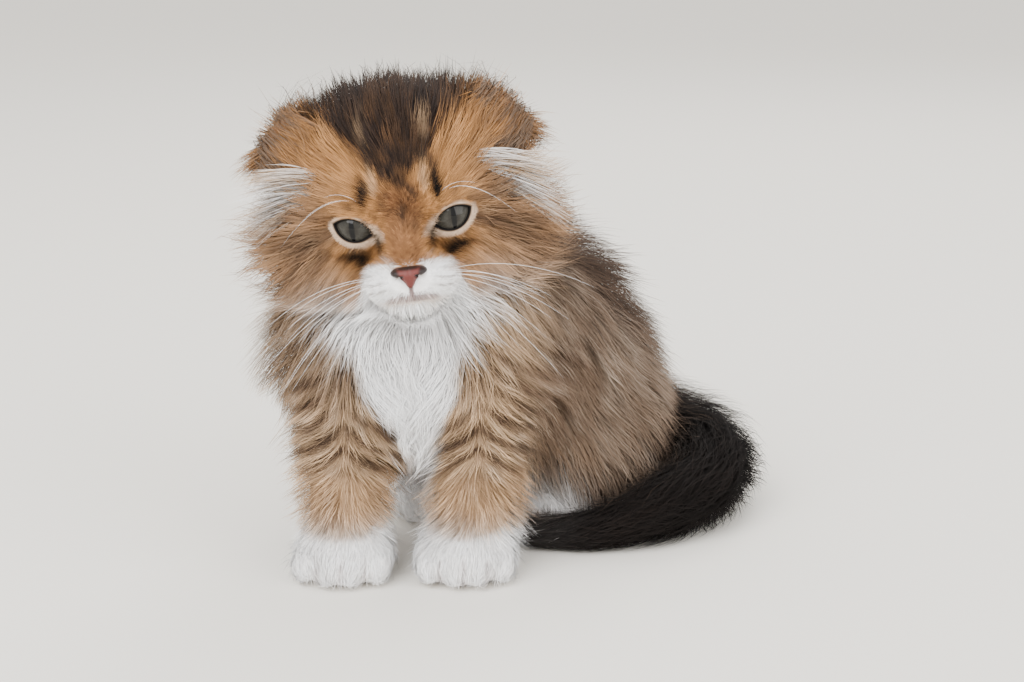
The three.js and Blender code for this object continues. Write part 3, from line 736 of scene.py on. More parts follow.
@dataclass(frozen=True)
class EyeFinish:
    """A clear wet gloss over the iris and slit that the eye's own marks give."""

    name: str = "eye_gloss"
    roughness: float = 0.04
    bend: float = 1.38
    specular: float = 0.3
    fibres: float = 1500

    def make(self) -> bpy.types.Material:
        """Return the finish as a material."""
        values = {
            "Roughness": self.roughness,
            "IOR": self.bend,
            "Specular IOR Level": self.specular,
        }
        material, shader = begun(self.name, values)
        tree = material.node_tree
        marks = add(tree, "ShaderNodeAttribute", {})
        marks.attribute_name = "marks"
        fibres = add(tree, "ShaderNodeTexNoise", {"Scale": self.fibres, "Detail": 3})
        tint = tinted(tree, fibres, 0.75, 1.2)
        join(tree, (marks, "Color", tint, "Vector"), (tint, "Vector", shader, "Base Color"))
        return material


@dataclass(frozen=True)
class PlainFinish:
    """A finish of one colour, for the floor."""

    name: str
    colour: tuple[float, float, float]
    roughness: float = 0.9
    specular: float = 0.1

    def make(self) -> bpy.types.Material:
        """Return the finish as a material."""
        values = {
            "Base Color": (*srgb(*self.colour), 1),
            "Roughness": self.roughness,
            "Specular IOR Level": self.specular,
        }
        return begun(self.name, values)[0]


class Workshop:
    """Turns places in the kitten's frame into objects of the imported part's frame."""

    def __init__(self) -> None:
        """Find where the kitten's frame lies in the part's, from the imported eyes."""
        corners = [np.array(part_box(f"eye_{side}")) for side in ("left", "right")]
        packed = np.mean([c.mean(0) for c in corners], axis=0) / MM
        own = from_head(np.array([[0.0, EYE_AT[1], EYE_AT[2]]]))[0]
        self.shift = packed - own
        self.shift[2] = 0.0
        LOG.info("kitten's frame moved by %s mm", self.shift.round(3))

    def metres(self, points: Array) -> Array:
        """Return places of the kitten's frame in metres of the part's frame."""
        return (points + self.shift) * MM

    def millimetres(self, points: Array) -> Array:
        """Return places of the part's frame in millimetres of the kitten's frame."""
        return points / MM - self.shift

    def link(self, name: str, mesh: bpy.types.Mesh) -> bpy.types.Object:
        """Return a new object in the scene that shows a mesh."""
        piece = bpy.data.objects.new(name, mesh)
        bpy.context.scene.collection.objects.link(piece)
        return piece

    def read(self, mesh: bpy.types.Mesh) -> Array:
        """Return a mesh's places in millimetres of the kitten's frame."""
        return self.millimetres(self.stored(mesh))

    def write(self, mesh: bpy.types.Mesh, points: Array) -> None:
        """Set a mesh's places from the kitten's frame."""
        mesh.vertices.foreach_set("co", self.metres(points).astype(np.float32).ravel())
        mesh.update()

    @staticmethod
    def built(bm: bmesh.types.BMesh, name: str) -> bpy.types.Mesh:
        """Return what was built as a new mesh."""
        mesh = bpy.data.meshes.new(name)
        bm.to_mesh(mesh)
        bm.free()
        return mesh

    @staticmethod
    def stored(mesh: bpy.types.Mesh) -> Array:
        """Return a mesh's own places."""
        flat = np.zeros(len(mesh.vertices) * 3)
        mesh.vertices.foreach_get("co", flat)
        return flat.reshape(-1, 3)

    @staticmethod
    def mark(mesh: bpy.types.Mesh, colours: Array) -> None:
        """Give a mesh its markings, one colour a vertex."""
        layer = mesh.color_attributes.new("marks", "FLOAT_COLOR", "POINT")
        rows = np.ones((len(colours), 4), np.float32)
        rows[:, :3] = np.clip(colours, 0, 1)
        layer.data.foreach_set("color", rows.ravel())

    def finish(
        self, piece: bpy.types.Object, material: bpy.types.Material, slot: str, *nodes: str
    ) -> None:
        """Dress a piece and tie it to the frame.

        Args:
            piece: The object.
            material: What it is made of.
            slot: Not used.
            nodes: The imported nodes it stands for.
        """
        piece.data.materials.clear()
        piece.data.materials.append(material)
        piece.data.shade_smooth()
        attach(piece, "root")
        if nodes:
            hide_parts(*nodes)
        LOG.info("%s: %d faces", piece.name, len(piece.data.polygons))


@dataclass
class Strands:
    """Many tapered strands as one closed mesh."""

    name: str
    paths: Array
    normals: Array
    width: Array
    colours: Array
    patch: Array
    flat: float = 0.4
    soften: float = 0.78
    LEAN = np.array([0.0, 0.0, 0.5])
    PATCH = 0.003

    def mesh(self, shop: Workshop) -> bpy.types.Mesh:
        """Return the strands as a mesh with markings, a bake map and soft normals."""
        count, stations = self.paths.shape[:2]
        rings = stations - 1
        along = unit(np.gradient(self.paths, axis=1))
        side = unit(np.cross(along, self.normals))
        over = np.cross(side, along)
        u = np.arange(rings) / rings
        full = (0.72 + 0.5 * np.sin(np.pi * u)) * (1 - 0.55 * u)
        wide = (self.width[:, None] * full[None])[..., None]
        core = self.paths[:, :rings]
        left = core - side[:, :rings] * wide
        right = core + side[:, :rings] * wide
        top = core + over[:, :rings] * wide * self.flat
        ring = np.stack([left, right, top], axis=2).reshape(count, rings * 3, 3)
        points = np.concatenate([ring, self.paths[:, rings:]], axis=1)
        points[..., 2] = np.maximum(points[..., 2], FLOOR_CLEAR)
        outward = np.stack([over - side, over + side, over], axis=2)[:, :rings]
        flat_normals = outward.reshape(count, rings * 3, 3)
        shape = np.concatenate([flat_normals, over[:, rings:]], axis=1)
        soft = np.repeat(self.normals[:, :rings], 3, axis=1)
        soft = unit(np.concatenate([soft, self.normals[:, rings:]], axis=1) + self.LEAN)
        normals = unit(unit(shape) * (1 - self.soften) + soft * self.soften)
        mesh = self._faces(count, rings)
        shop.write(mesh, points.reshape(-1, 3))
        colours = np.repeat(self.colours[:, :rings], 3, axis=1)
        colours = np.concatenate([colours, self.colours[:, rings:]], axis=1)
        shop.mark(mesh, colours.reshape(-1, 3))
        self._bake_map(mesh, rings)
        mesh.shade_smooth()
        mesh.normals_split_custom_set_from_vertices(normals.reshape(-1, 3).astype(np.float32))
        return mesh

    def _faces(self, count: int, rings: int) -> bpy.types.Mesh:
        """Return a mesh with every strand's triangles and places still to be set."""
        one = [(0, 1, 2)]
        for j in range(rings - 1):
            for i in range(3):
                a, b = j * 3 + i, j * 3 + (i + 1) % 3
                one += [(a, a + 3, b + 3), (a, b + 3, b)]
        last = (rings - 1) * 3
        one += [(last + i, rings * 3, last + (i + 1) % 3) for i in range(3)]
        triangles = np.array(one)[None] + (np.arange(count) * (rings * 3 + 1))[:, None, None]
        triangles = triangles.reshape(-1, 3).astype(np.int32)
        mesh = bpy.data.meshes.new(self.name)
        mesh.vertices.add(count * (rings * 3 + 1))
        mesh.loops.add(triangles.size)
        mesh.polygons.add(len(triangles))
        mesh.loops.foreach_set("vertex_index", triangles.ravel())
        mesh.polygons.foreach_set("loop_start", np.arange(0, triangles.size, 3, dtype=np.int32))
        return mesh

    def _bake_map(self, mesh: bpy.types.Mesh, rings: int) -> None:
        """Lay each strand on a small patch at its root's place on the skin's unwrap."""
        across = np.tile([-1.0, 1.0, 0.0], rings)
        up = np.repeat(np.arange(rings) / rings, 3) * 2 - 1
        local = np.stack([np.r_[across, 0.0], np.r_[up, 1.0]], axis=1) * (self.PATCH / 2)
        spread = (self.patch[:, None] + local[None]).reshape(-1, 2)
        corner = np.zeros(len(mesh.loops), np.int32)
        mesh.loops.foreach_get("vertex_index", corner)
        layer = mesh.uv_layers.new(name="OFBake")
        layer.data.foreach_set("uv", np.clip(spread[corner], 0, 1).astype(np.float32).ravel())


class Skin:
    """One skin over the whole kitten, finer at the face, with sockets and a mouth."""

    VOXEL = 1.7
    SOCKET_DEPTH = 8.1
    MOUTH_DEPTH = 1.5
    PHILTRUM_DEPTH = 0.9

    def __init__(self, shop: Workshop) -> None:
        """Keep the workshop and build the skin."""
        self.shop = shop
        mesh = self._remeshed()
        points, _ = BODY.settle(shop.read(mesh), SKIN_SHARE, 3)
        shop.write(mesh, points)
        self._refine(mesh, lambda q: (q[:, 1] < -14) & (np.abs(q[:, 0]) < 31) & (q[:, 2] > -34))
        self._refine(mesh, lambda q: (q[:, 1] < -27) & (np.abs(q[:, 0]) < 17) & (q[:, 2] < -12))
        points, self.normals = BODY.settle(shop.read(mesh), SKIN_SHARE, 3)
        points = self._carved(points, self.normals)
        points[:, 2] = np.maximum(points[:, 2], FLOOR_CLEAR)
        shop.write(mesh, points)
        self.points = points
        self.mesh = mesh
        self._unwrap()
        under = MARKINGS.colour(points)
        # The skin is painted darker than the markings, pale places less so: painted shade in the gaps between
        # the strands.
        pale = smooth(under.min(1), 0.35, 0.75)
        shop.mark(mesh, under * (0.84 + 0.13 * pale)[:, None])
        self.piece = shop.link("skin", mesh)

    def _remeshed(self) -> bpy.types.Mesh:
        """Return every form joined into one even mesh."""
        bm = bmesh.new()
        for group, forms in BODY.forms.items():
            for form in forms:
                self._add(bm, group, form)
        piece = self.shop.link("forms", self.shop.built(bm, "forms"))
        remesh = piece.modifiers.new("even", "REMESH")
        remesh.mode = "VOXEL"
        remesh.voxel_size = self.VOXEL * MM
        held = bpy.context.evaluated_depsgraph_get()
        mesh = bpy.data.meshes.new_from_object(piece.evaluated_get(held))
        mesh.name = "skin"
        bpy.data.objects.remove(piece)
        return mesh

    def _add(self, bm: bmesh.types.BMesh, group: Group, form: Ball | Limb | TailLine) -> None:
        """Add a form to the mesh as closed round shells."""
        if isinstance(form, Ball):
            radii = np.array(form.radii) + SKIN_SHARE * np.array(form.coat)
            own = Matrix.Translation(Vector(form.centre)) @ Matrix.Rotation(
                math.radians(form.turn), 4, "Z"
            )
            if group is Group.HEAD:
                own = Matrix.Translation(Vector(HEAD_AT)) @ Matrix(HEAD_TURN).to_4x4() @ own
            self._shell(bm, own @ Matrix.Diagonal(Vector((*radii, 1))))
            return
        if isinstance(form, Limb):
            start, end = np.array(form.start), np.array(form.end)
            places = [mix(start, end, t) for t in np.linspace(0, 1, 10)]
            radii = [mix(form.radii[0], form.radii[1], t) + 2 for t in np.linspace(0, 1, 10)]
        else:
            places = list(form.places[::2])
            radii = [tail_reach(t, SKIN_SHARE) for t in form.t[::2]]
        for place, radius in zip(places, radii):
            grown = Matrix.Diagonal(Vector((radius, radius, radius, 1)))
            self._shell(bm, Matrix.Translation(Vector(place)) @ grown)

    def _shell(self, bm: bmesh.types.BMesh, matrix: Matrix) -> None:
        """Add a round shell, moved from the kitten's frame to the part's."""
        shift = Matrix.Translation(Vector(self.shop.shift * MM))
        scale = Matrix.Diagonal(Vector((MM, MM, MM, 1)))
        bmesh.ops.create_icosphere(bm, subdivisions=4, radius=1, matrix=shift @ scale @ matrix)

    def _refine(self, mesh: bpy.types.Mesh, chosen: Callable[[Array], Array]) -> None:
        """Halve the faces of the head that a test picks."""
        near = chosen(to_head(self.shop.read(mesh)))
        bm = bmesh.new()
        bm.from_mesh(mesh)
        bm.verts.ensure_lookup_table()
        edges = [e for e in bm.edges if near[e.verts[0].index] and near[e.verts[1].index]]
        bmesh.ops.subdivide_edges(bm, edges=edges, cuts=1, use_grid_fill=True)
        bmesh.ops.triangulate(bm, faces=[f for f in bm.faces if len(f.verts) > 4])
        bm.to_mesh(mesh)
        bm.free()

    def _carved(self, points: Array, normals: Array) -> Array:
        """Return the places with sockets behind the eyes and the line of the mouth."""
        local = to_head(points)
        eye = ALMOND.scale(local)
        for side in SIDES:
            centre = eye_centre(side)
            ray = local - centre
            reach = np.linalg.norm(ray, axis=1)
            inside = (reach < 14) & (eye < 1.4) & (ray[:, 1] < 0)
            deep = mix(self.SOCKET_DEPTH, reach, smooth(eye, 1.04, 1.2))
            moved = centre + ray / np.maximum(reach, 1e-6)[:, None] * deep[:, None]
            local = np.where(inside[:, None], moved, local)
        x, z = local[:, 0], local[:, 2]
        front = local[:, 1] < -30
        lip = np.abs(z - MOUTH + 0.01 * x * x)
        line = np.exp(-((lip / 0.75) ** 2)) * fade(np.abs(x), 9, 12)
        cleft = np.exp(-((x / 0.6) ** 2)) * smooth(z, -25.6, -24.8) * fade(z, -20, -18.8)
        groove = np.maximum(line * self.MOUTH_DEPTH, cleft * self.PHILTRUM_DEPTH) * front
        return from_head(local) - normals * groove[:, None]

    def _unwrap(self) -> None:
        """Lay the skin out flat in pieces that follow its own shape."""
        piece = self.shop.link("unwrapping", self.mesh)
        bpy.context.view_layer.objects.active = piece
        piece.select_set(True)
        self.mesh.uv_layers.new(name="unwrap")
        bpy.ops.object.mode_set(mode="EDIT")
        bpy.ops.mesh.select_all(action="SELECT")
        bpy.ops.uv.smart_project(angle_limit=math.radians(66), island_margin=0.002)
        bpy.ops.object.mode_set(mode="OBJECT")
        bpy.data.objects.remove(piece)

    def triangles(self) -> tuple[Array, Array]:
        """Return the skin's triangles and the unwrap's place of each of their corners."""
        self.mesh.calc_loop_triangles()
        count = len(self.mesh.loop_triangles)
        verts = np.zeros(count * 3, np.int32)
        loops = np.zeros(count * 3, np.int32)
        self.mesh.loop_triangles.foreach_get("vertices", verts)
        self.mesh.loop_triangles.foreach_get("loops", loops)
        uv = np.zeros(len(self.mesh.loops) * 2)
        self.mesh.uv_layers["unwrap"].data.foreach_get("uv", uv)
        return verts.reshape(-1, 3), uv.reshape(-1, 2)[loops].reshape(-1, 3, 2)


@dataclass
class Roots:
    """Where strands leave the skin."""

    places: Array
    patch: Array


class Lie:
    """Which way the coat lies and how long it is, by place."""

    @staticmethod
    def ways(points: Array) -> Array:
        """Return the direction in which the coat lies."""
        w = BODY.weights(points)
        x, y = points[:, 0], points[:, 1]
        local = to_head(points)
        _, tail = BODY.tail.nearest(points)
        ones = np.ones(len(points))
        back = smooth(y, -20, 40)
        beside = (np.abs(x - 0.5) - 24.5) * np.sign(x - 0.5)
        part = beside * 0.025 + np.clip(beside * 0.25, -1.2, 1.2) * smooth(points[:, 2], 34, 50)
        front = fade(y, -34, -14) * fade(points[:, 2], 84, 104)
        fan = x * 0.01 + np.clip(beside * 0.12, -1.2, 1.2) * front
        low = smooth(-local[:, 2], -20, 10)
        crown = smooth(local[:, 2], 12, 26)[:, None]
        over = unit(local - np.array([0, -44, -4]))
        cheek = local - np.array([0, -30, -12]) + np.stack([0 * x, 14 * ones, -26 * low], axis=1)
        near = fade(np.hypot(local[:, 0] / 17, (local[:, 2] + 14) / 17), 0.7, 1.3)[:, None]
        muzzle = np.stack([local[:, 0] * 1.4, 12 * ones, local[:, 2] + 16], axis=1)
        head = over * crown + unit(cheek) * (1 - crown)
        head = unit(muzzle) * near + head * (1 - near)
        chin = smooth(-local[:, 2], 23, 28)[:, None]
        hung = np.stack([local[:, 0] * 0.05, -0.1 * ones, -ones], axis=1)
        head = hung * chin + head * (1 - chin)
        ways = {
            Group.HEAD: head @ HEAD_TURN.T,
            Group.NECK: np.stack([(x - 2) * 0.03, np.where(y > 0, 0.6, -0.05), -ones], axis=1),
            Group.TORSO: np.stack([fan, back * 0.7, -ones], axis=1),
            Group.LEGS: np.stack([part, 0.15 * ones, -ones], axis=1),
            Group.FRONT_PAWS: np.stack([0 * ones, -ones, -0.5 * ones], axis=1),
            Group.HIND_PAWS: np.stack([0.3 * ones, -ones, -0.5 * ones], axis=1),
            Group.THIGHS: np.stack([0.3 * np.sign(x - 40), 0.3 * ones, -ones], axis=1),
            Group.TAIL: tail,
        }
        return unit(sum(unit(ways[g]) * w[:, g.value, None] for g in Group))

    @staticmethod
    def face_reach(local: Array) -> Array:
        """Return how far from the middle of the face a place is, where the cheeks are past 1."""
        tilt = math.radians(LEVEL_EYE)
        up = local[:, 2] * math.cos(tilt) + (local[:, 1] + 30) * math.sin(tilt)
        reach = np.hypot(local[:, 0] / 24, (up + 8) / 26)
        return reach + 1.2 * smooth(local[:, 1], -14, 6)

    @classmethod
    def length(cls, points: Array) -> Array:
        """Return the coat's length, in millimetres along the hair."""
        w = BODY.weights(points)
        local = to_head(points)
        reach = cls.face_reach(local)
        head = 2.0 + 16 * smooth(reach, 0.6, 2.0) + 8 * smooth(np.abs(local[:, 0]), 24, 40)
        head += 8 * smooth(-local[:, 2], 23, 30)
        ear = np.hypot((np.abs(local[:, 0]) - 30) / 14, (local[:, 2] - 26) / 14)
        head += 7 * fade(ear, 0.6, 1.3)
        z = points[:, 2]
        head += 5 * smooth(np.abs(local[:, 0]), 12, 20) * smooth(-local[:, 2], 8, 16)
        low = fade(z, 72, 92) * smooth(-points[:, 1], 16, 32)
        lengths = {
            Group.HEAD: head,
            Group.NECK: 30.0,
            Group.TORSO: 24 + 6 * smooth(-points[:, 1], 10, 30) - 15 * low,
            Group.LEGS: 6 + 4 * smooth(z, 26, 50),
            Group.FRONT_PAWS: 5.0,
            Group.HIND_PAWS: 5.0,
            Group.THIGHS: 20.0,
            Group.TAIL: 30.0,
        }
        return sum(np.asarray(lengths[g]) * w[:, g.value] for g in Group)


@dataclass(frozen=True)
class Tract:
    """A stretch of coat that is one piece."""

    name: str
    groups: tuple[Group, ...]
    count: int
    width: float
    stations: int
    clump: float
    hold: float
    stray: float = 0.05
    wave: float = 0.16
    lift: float = 0.3
    own: float = 0.5
    slot: str = "golden_coat"
    within: Callable[[Array, Array], Array] | None = None

    def covers(self, owner: Array, centre: Array, local: Array) -> Array:
        """Return which triangles of the skin are the tract's."""
        chosen = np.isin(owner, [group.value for group in self.groups])
        return chosen & self.within(centre, local) if self.within else chosen


class Coat:
    """The coat: strands rooted on the skin that follow the body's lie, in soft locks."""

    CELL = 3
    LENGTH_SPREAD = 0.24
    TOP = 0.95
    TOP_SPREAD = 0.12
    TUFTING = 0.26
    STRAY_TURN, TURN = 0.3, 0.08
    BEND_STEP = 2.4
    DARK_SHARE, LIGHT_SHARE = 0.1, 0.08
    TONE_SPREAD = 0.09
    FACE_UNEVEN, UNEVEN = 0.3, 0.17

    def __init__(self, shop: Workshop, skin: Skin) -> None:
        """Work out where on the skin strands can be rooted."""
        self.shop = shop
        self.skin = skin
        self.corners, self.uv = skin.triangles()
        points = skin.points[self.corners]
        self.centre = points.mean(1)
        cross = np.cross(points[:, 1] - points[:, 0], points[:, 2] - points[:, 0])
        self.area = 0.5 * np.linalg.norm(cross, axis=1)
        self.owner = BODY.groups(self.centre, 0.5).argmin(0)
        self.local = to_head(self.centre)
        cell = np.clip((self.centre + 200) / self.CELL, 0, 1023).astype(np.int64)
        self.order = np.lexsort((cell[:, 0], cell[:, 1], cell[:, 2]))
        eye = ALMOND.scale(self.local)
        open_eye = (eye < 1.1) & (self.local[:, 1] < -18) & (self.owner == Group.HEAD.value)
        nose = np.hypot(self.local[:, 0] / 6.4, (self.local[:, 2] + 16.6) / 4.4) < 1
        x = self.local[:, 0]
        lip = np.abs(self.local[:, 2] - MOUTH + 0.01 * x * x) < 0.55
        mouth = lip & (np.abs(x) < 9) & (self.local[:, 1] < -30)
        bare = open_eye | mouth | (nose & (self.local[:, 1] < -36))
        self.area[bare | (self.centre[:, 2] < 1.2)] = 0

    def roots(self, chosen: Array, count: int, rng: np.random.Generator) -> Roots:
        """Spread roots evenly over chosen triangles."""
        weight = np.where(chosen, self.area, 0)[self.order]
        run = np.cumsum(weight)
        marks = (np.arange(count) + rng.random(count)) / count * run[-1]
        pick = self.order[np.minimum(np.searchsorted(run, marks), len(run) - 1)]
        a, b = rng.random(count), rng.random(count)
        over = a + b > 1
        a, b = np.where(over, 1 - a, a), np.where(over, 1 - b, b)
        share = np.stack([1 - a - b, a, b], axis=1)[..., None]
        places = (self.skin.points[self.corners[pick]] * share).sum(1)
        return Roots(places, (self.uv[pick] * share).sum(1))

    def comb(
        self, roots: Array, tract: Tract, rng: np.random.Generator
    ) -> tuple[Array, Array, Array]:
        """Lay strands from their roots along the coat.

        Args:
            roots: Where they leave the skin.
            tract: The stretch of coat.
            rng: The source of variation.

        Returns:
            Their stations, the outward direction at each and the lock each is in.
        """
        count = len(roots)
        stray = rng.random(count) < tract.stray
        spread = self.LENGTH_SPREAD * rng.standard_normal(count).clip(-2, 1.8)
        length = Lie.length(roots) * (1 + spread)
        top = self.TOP + self.TOP_SPREAD * rng.standard_normal(count).clip(-2, 2)
        top = top + np.where(stray, tract.lift, 0)
        top = top + self.TUFTING * noise(roots, 7, 33)
        phase = np.pi * noise(roots, 11, 32)
        lean = (0.1 + 0.9 * tract.wave) * noise(roots, 13, 31)
        unruly = np.where(stray, self.STRAY_TURN, self.TURN)
        lean = lean + unruly * rng.standard_normal(count).clip(-2, 2)
        q = roots.copy()
        normal = BODY.outward(q, SKIN_SHARE)
        way = Lie.ways(q)
        path, normals = [q - 0.5 * normal], [normal]
        steps = tract.stations - 1
        for k in range(1, steps + 1):
            way = unit(way - (way * normal).sum(1, keepdims=True) * normal)
            turn = tract.wave * np.sin(phase + self.BEND_STEP * k) + (lean if k == 1 else 0)
            side = np.cross(normal, way)
            bent = way * np.cos(turn)[:, None] + side * np.sin(turn)[:, None]
            q = q + bent * (length / steps)[:, None]
            share = SKIN_SHARE + (top - SKIN_SHARE) * (k / steps) ** 0.75
            q, normal = BODY.settle(q, share, 2)
            q[:, 2] = np.maximum(q[:, 2], FLOOR_CLEAR + 0.6)
            path.append(q)
            normals.append(normal)
            way = unit(0.7 * bent + 0.3 * Lie.ways(q))
        path, lock = self._gather(np.stack(path, axis=1), tract, stray, rng)
        return path, np.stack(normals, axis=1), lock

    def _gather(
        self, path: Array, tract: Tract, stray: Array, rng: np.random.Generator
    ) -> tuple[Array, Array]:
        """Draw strands together into locks, towards the tips of the nearest guides."""
        count = len(path)
        guides = max(20, int(count / max(4.0, tract.clump)))
        chosen = rng.choice(count, guides, replace=False)
        tree = KDTree(guides)
        for i, k in enumerate(chosen):
            tree.insert(path[k, 0], i)
        tree.balance()
        near = np.array([chosen[tree.find(p)[1]] for p in path[:, 0]])
        hold = tract.hold * (0.75 + 0.5 * rng.random(count)) * np.where(stray, 0.15, 1)
        for k in range(1, path.shape[1]):
            u = k / (path.shape[1] - 1)
            path[:, k] += (path[near, k] - path[:, k]) * (hold * u**1.2)[:, None]
        return path, near

    def grow(self, tract: Tract, finish: bpy.types.Material, seed: int) -> bpy.types.Object:
        """Return one tract of coat as a piece."""
        rng = np.random.default_rng(seed)
        chosen = tract.covers(self.owner, self.centre, self.local)
        roots = self.roots(chosen, tract.count, rng)
        paths, normals, lock = self.comb(roots.places, tract, rng)
        colours = self._colours(paths, lock, tract.own, rng)
        width = tract.width * (0.75 + 0.5 * rng.random(tract.count))
        strands = Strands(tract.name, paths, normals, width * 0.5, colours, roots.patch)
        piece = self.shop.link(tract.name, strands.mesh(self.shop))
        self.shop.finish(piece, finish, tract.slot)
        return piece

    def _colours(
        self, paths: Array, lock: Array, own: float, rng: np.random.Generator
    ) -> Array:
        """Colour strands by the markings that they cross.

        Args:
            paths: Their stations.
            lock: The lock each is in.
            own: How much of its colour a strand takes from its lock.
            rng: The source of variation.

        Returns:
            A linear colour for each station.
        """
        count, stations = paths.shape[:2]
        middle = mix(paths[:, (stations - 1) // 2], paths[:, stations // 2], 0.5)
        jitter = rng.normal(0, 0.5, (count, 3))
        here = MARKINGS.colour((paths[:, 1:] + jitter[:, None]).reshape(-1, 3))
        here = here.reshape(count, stations - 1, 3)
        here = np.concatenate([here[:, :1], here], axis=1)
        base = (1 - own) * here + own * MARKINGS.colour((middle + jitter)[lock])[:, None]
        pale = smooth(base.min(2), 0.35, 0.75)
        u = np.linspace(0, 1, stations)[None]
        # Painted shade at the roots and painted light on the tips of each strand.
        shade = (0.74 + 0.22 * pale) * (1 - u) + (1.1 - 0.06 * pale) * u
        kind = rng.random(count)
        tone = 1 + self.TONE_SPREAD * rng.standard_normal(count).clip(-2.2, 2.2)
        dark, light = kind < self.DARK_SHARE, kind > 1 - self.LIGHT_SHARE
        tone = tone * np.where(dark, 0.72, 1) * np.where(light, 1.2, 1)
        uneven = self.FACE_UNEVEN if stations == 2 else self.UNEVEN
        tone = tone * (1 + uneven * rng.standard_normal(count).clip(-2, 2)[lock])
        tone = 1 + (tone[:, None] - 1) * (1 - 0.35 * pale)
        return base * (shade * tone)[..., None]


def on_chin(centre: Array, local: Array) -> Array:
    """Return which places are on the chin, whose hair runs into the ruff."""
    return (local[:, 2] < MOUTH - 1) & (local[:, 1] < -20) & (np.abs(local[:, 0]) < 16)


def on_face(centre: Array, local: Array) -> Array:
    """Return which places of the head have the face's short hair."""
    return (Lie.face_reach(local) < 1.12) & ~on_chin(centre, local)


def on_crown(centre: Array, local: Array) -> Array:
    """Return which places are on top of the head."""
    return ~on_face(centre, local) & (local[:, 2] > 10)


def on_cheek(centre: Array, local: Array) -> Array:
    """Return which places are on the head's sides, back and throat."""
    return ~on_face(centre, local) & ~on_chin(centre, local) & (local[:, 2] <= 10)


def on_chest(centre: Array, local: Array) -> Array:
    """Return which places are on the front of the trunk."""
    return centre[:, 1] < -8


def on_back(centre: Array, local: Array) -> Array:
    """Return which places are on the trunk's right and middle, behind the chest."""
    return (centre[:, 1] >= -8) & (centre[:, 0] < 46)


def on_flank(centre: Array, local: Array) -> Array:
    """Return which places are on the trunk's left, behind the chest."""
    return (centre[:, 1] >= -8) & (centre[:, 0] >= 46)


PAWS = (Group.FRONT_PAWS, Group.HIND_PAWS)
TORSO = (Group.TORSO,)
HEAD = (Group.HEAD,)
GOLDEN, PALE, DARK = "golden_coat", "white_coat", "dark_coat"
# Name, groups, count, width, stations, clump, hold, stray, wave, lift, own, slot and within.
TRACTS = (
    Tract("face_fur", HEAD, 30000, 0.22, 2, 6, 0.2, 0.0, 0.15, 0.1, 0.2, GOLDEN, on_face),
    Tract("chin_fur", HEAD, 2400, 0.22, 4, 8, 0.3, 0.2, 0.3, 0.8, 0.5, PALE, on_chin),
    Tract("crown_fur", HEAD, 8400, 0.2, 4, 9, 0.4, 0.12, 0.25, 0.4, 0.6, GOLDEN, on_crown),
    Tract("cheek_fur", HEAD, 11000, 0.2, 4, 12, 0.45, 0.2, 0.35, 0.24, 0.5, GOLDEN, on_cheek),
    Tract("ruff_fur", (Group.NECK,), 7000, 0.23, 4, 22, 0.55, 0.0, 0.4, 0.0, 0.5, PALE),
    Tract("chest_fur", TORSO, 7800, 0.22, 5, 18, 0.5, 0.0, 0.3, 0.0, 0.1, PALE, on_chest),
    Tract("back_fur", TORSO, 7000, 0.29, 4, 12, 0.4, 0.08, 0.3, 0.3, 0.5, GOLDEN, on_back),
    Tract("flank_fur", TORSO, 7000, 0.27, 4, 12, 0.4, 0.08, 0.3, 0.3, 0.5, GOLDEN, on_flank),
    Tract("leg_fur", (Group.LEGS,), 9000, 0.2, 4, 8, 0.38, 0.08, 0.34, 0.5, 0.05, GOLDEN),
    Tract("paw_fur", PAWS, 9000, 0.24, 3, 8, 0.35, 0.1, 0.25, 0.6, 0.5, PALE),
    Tract("thigh_fur", (Group.THIGHS,), 3400, 0.28, 4, 12, 0.4, 0.08, 0.3, 0.3, 0.5, GOLDEN),
    Tract("tail_fur", (Group.TAIL,), 7000, 0.25, 4, 8, 0.32, 0.3, 0.3, 0.6, 0.5, DARK),
)


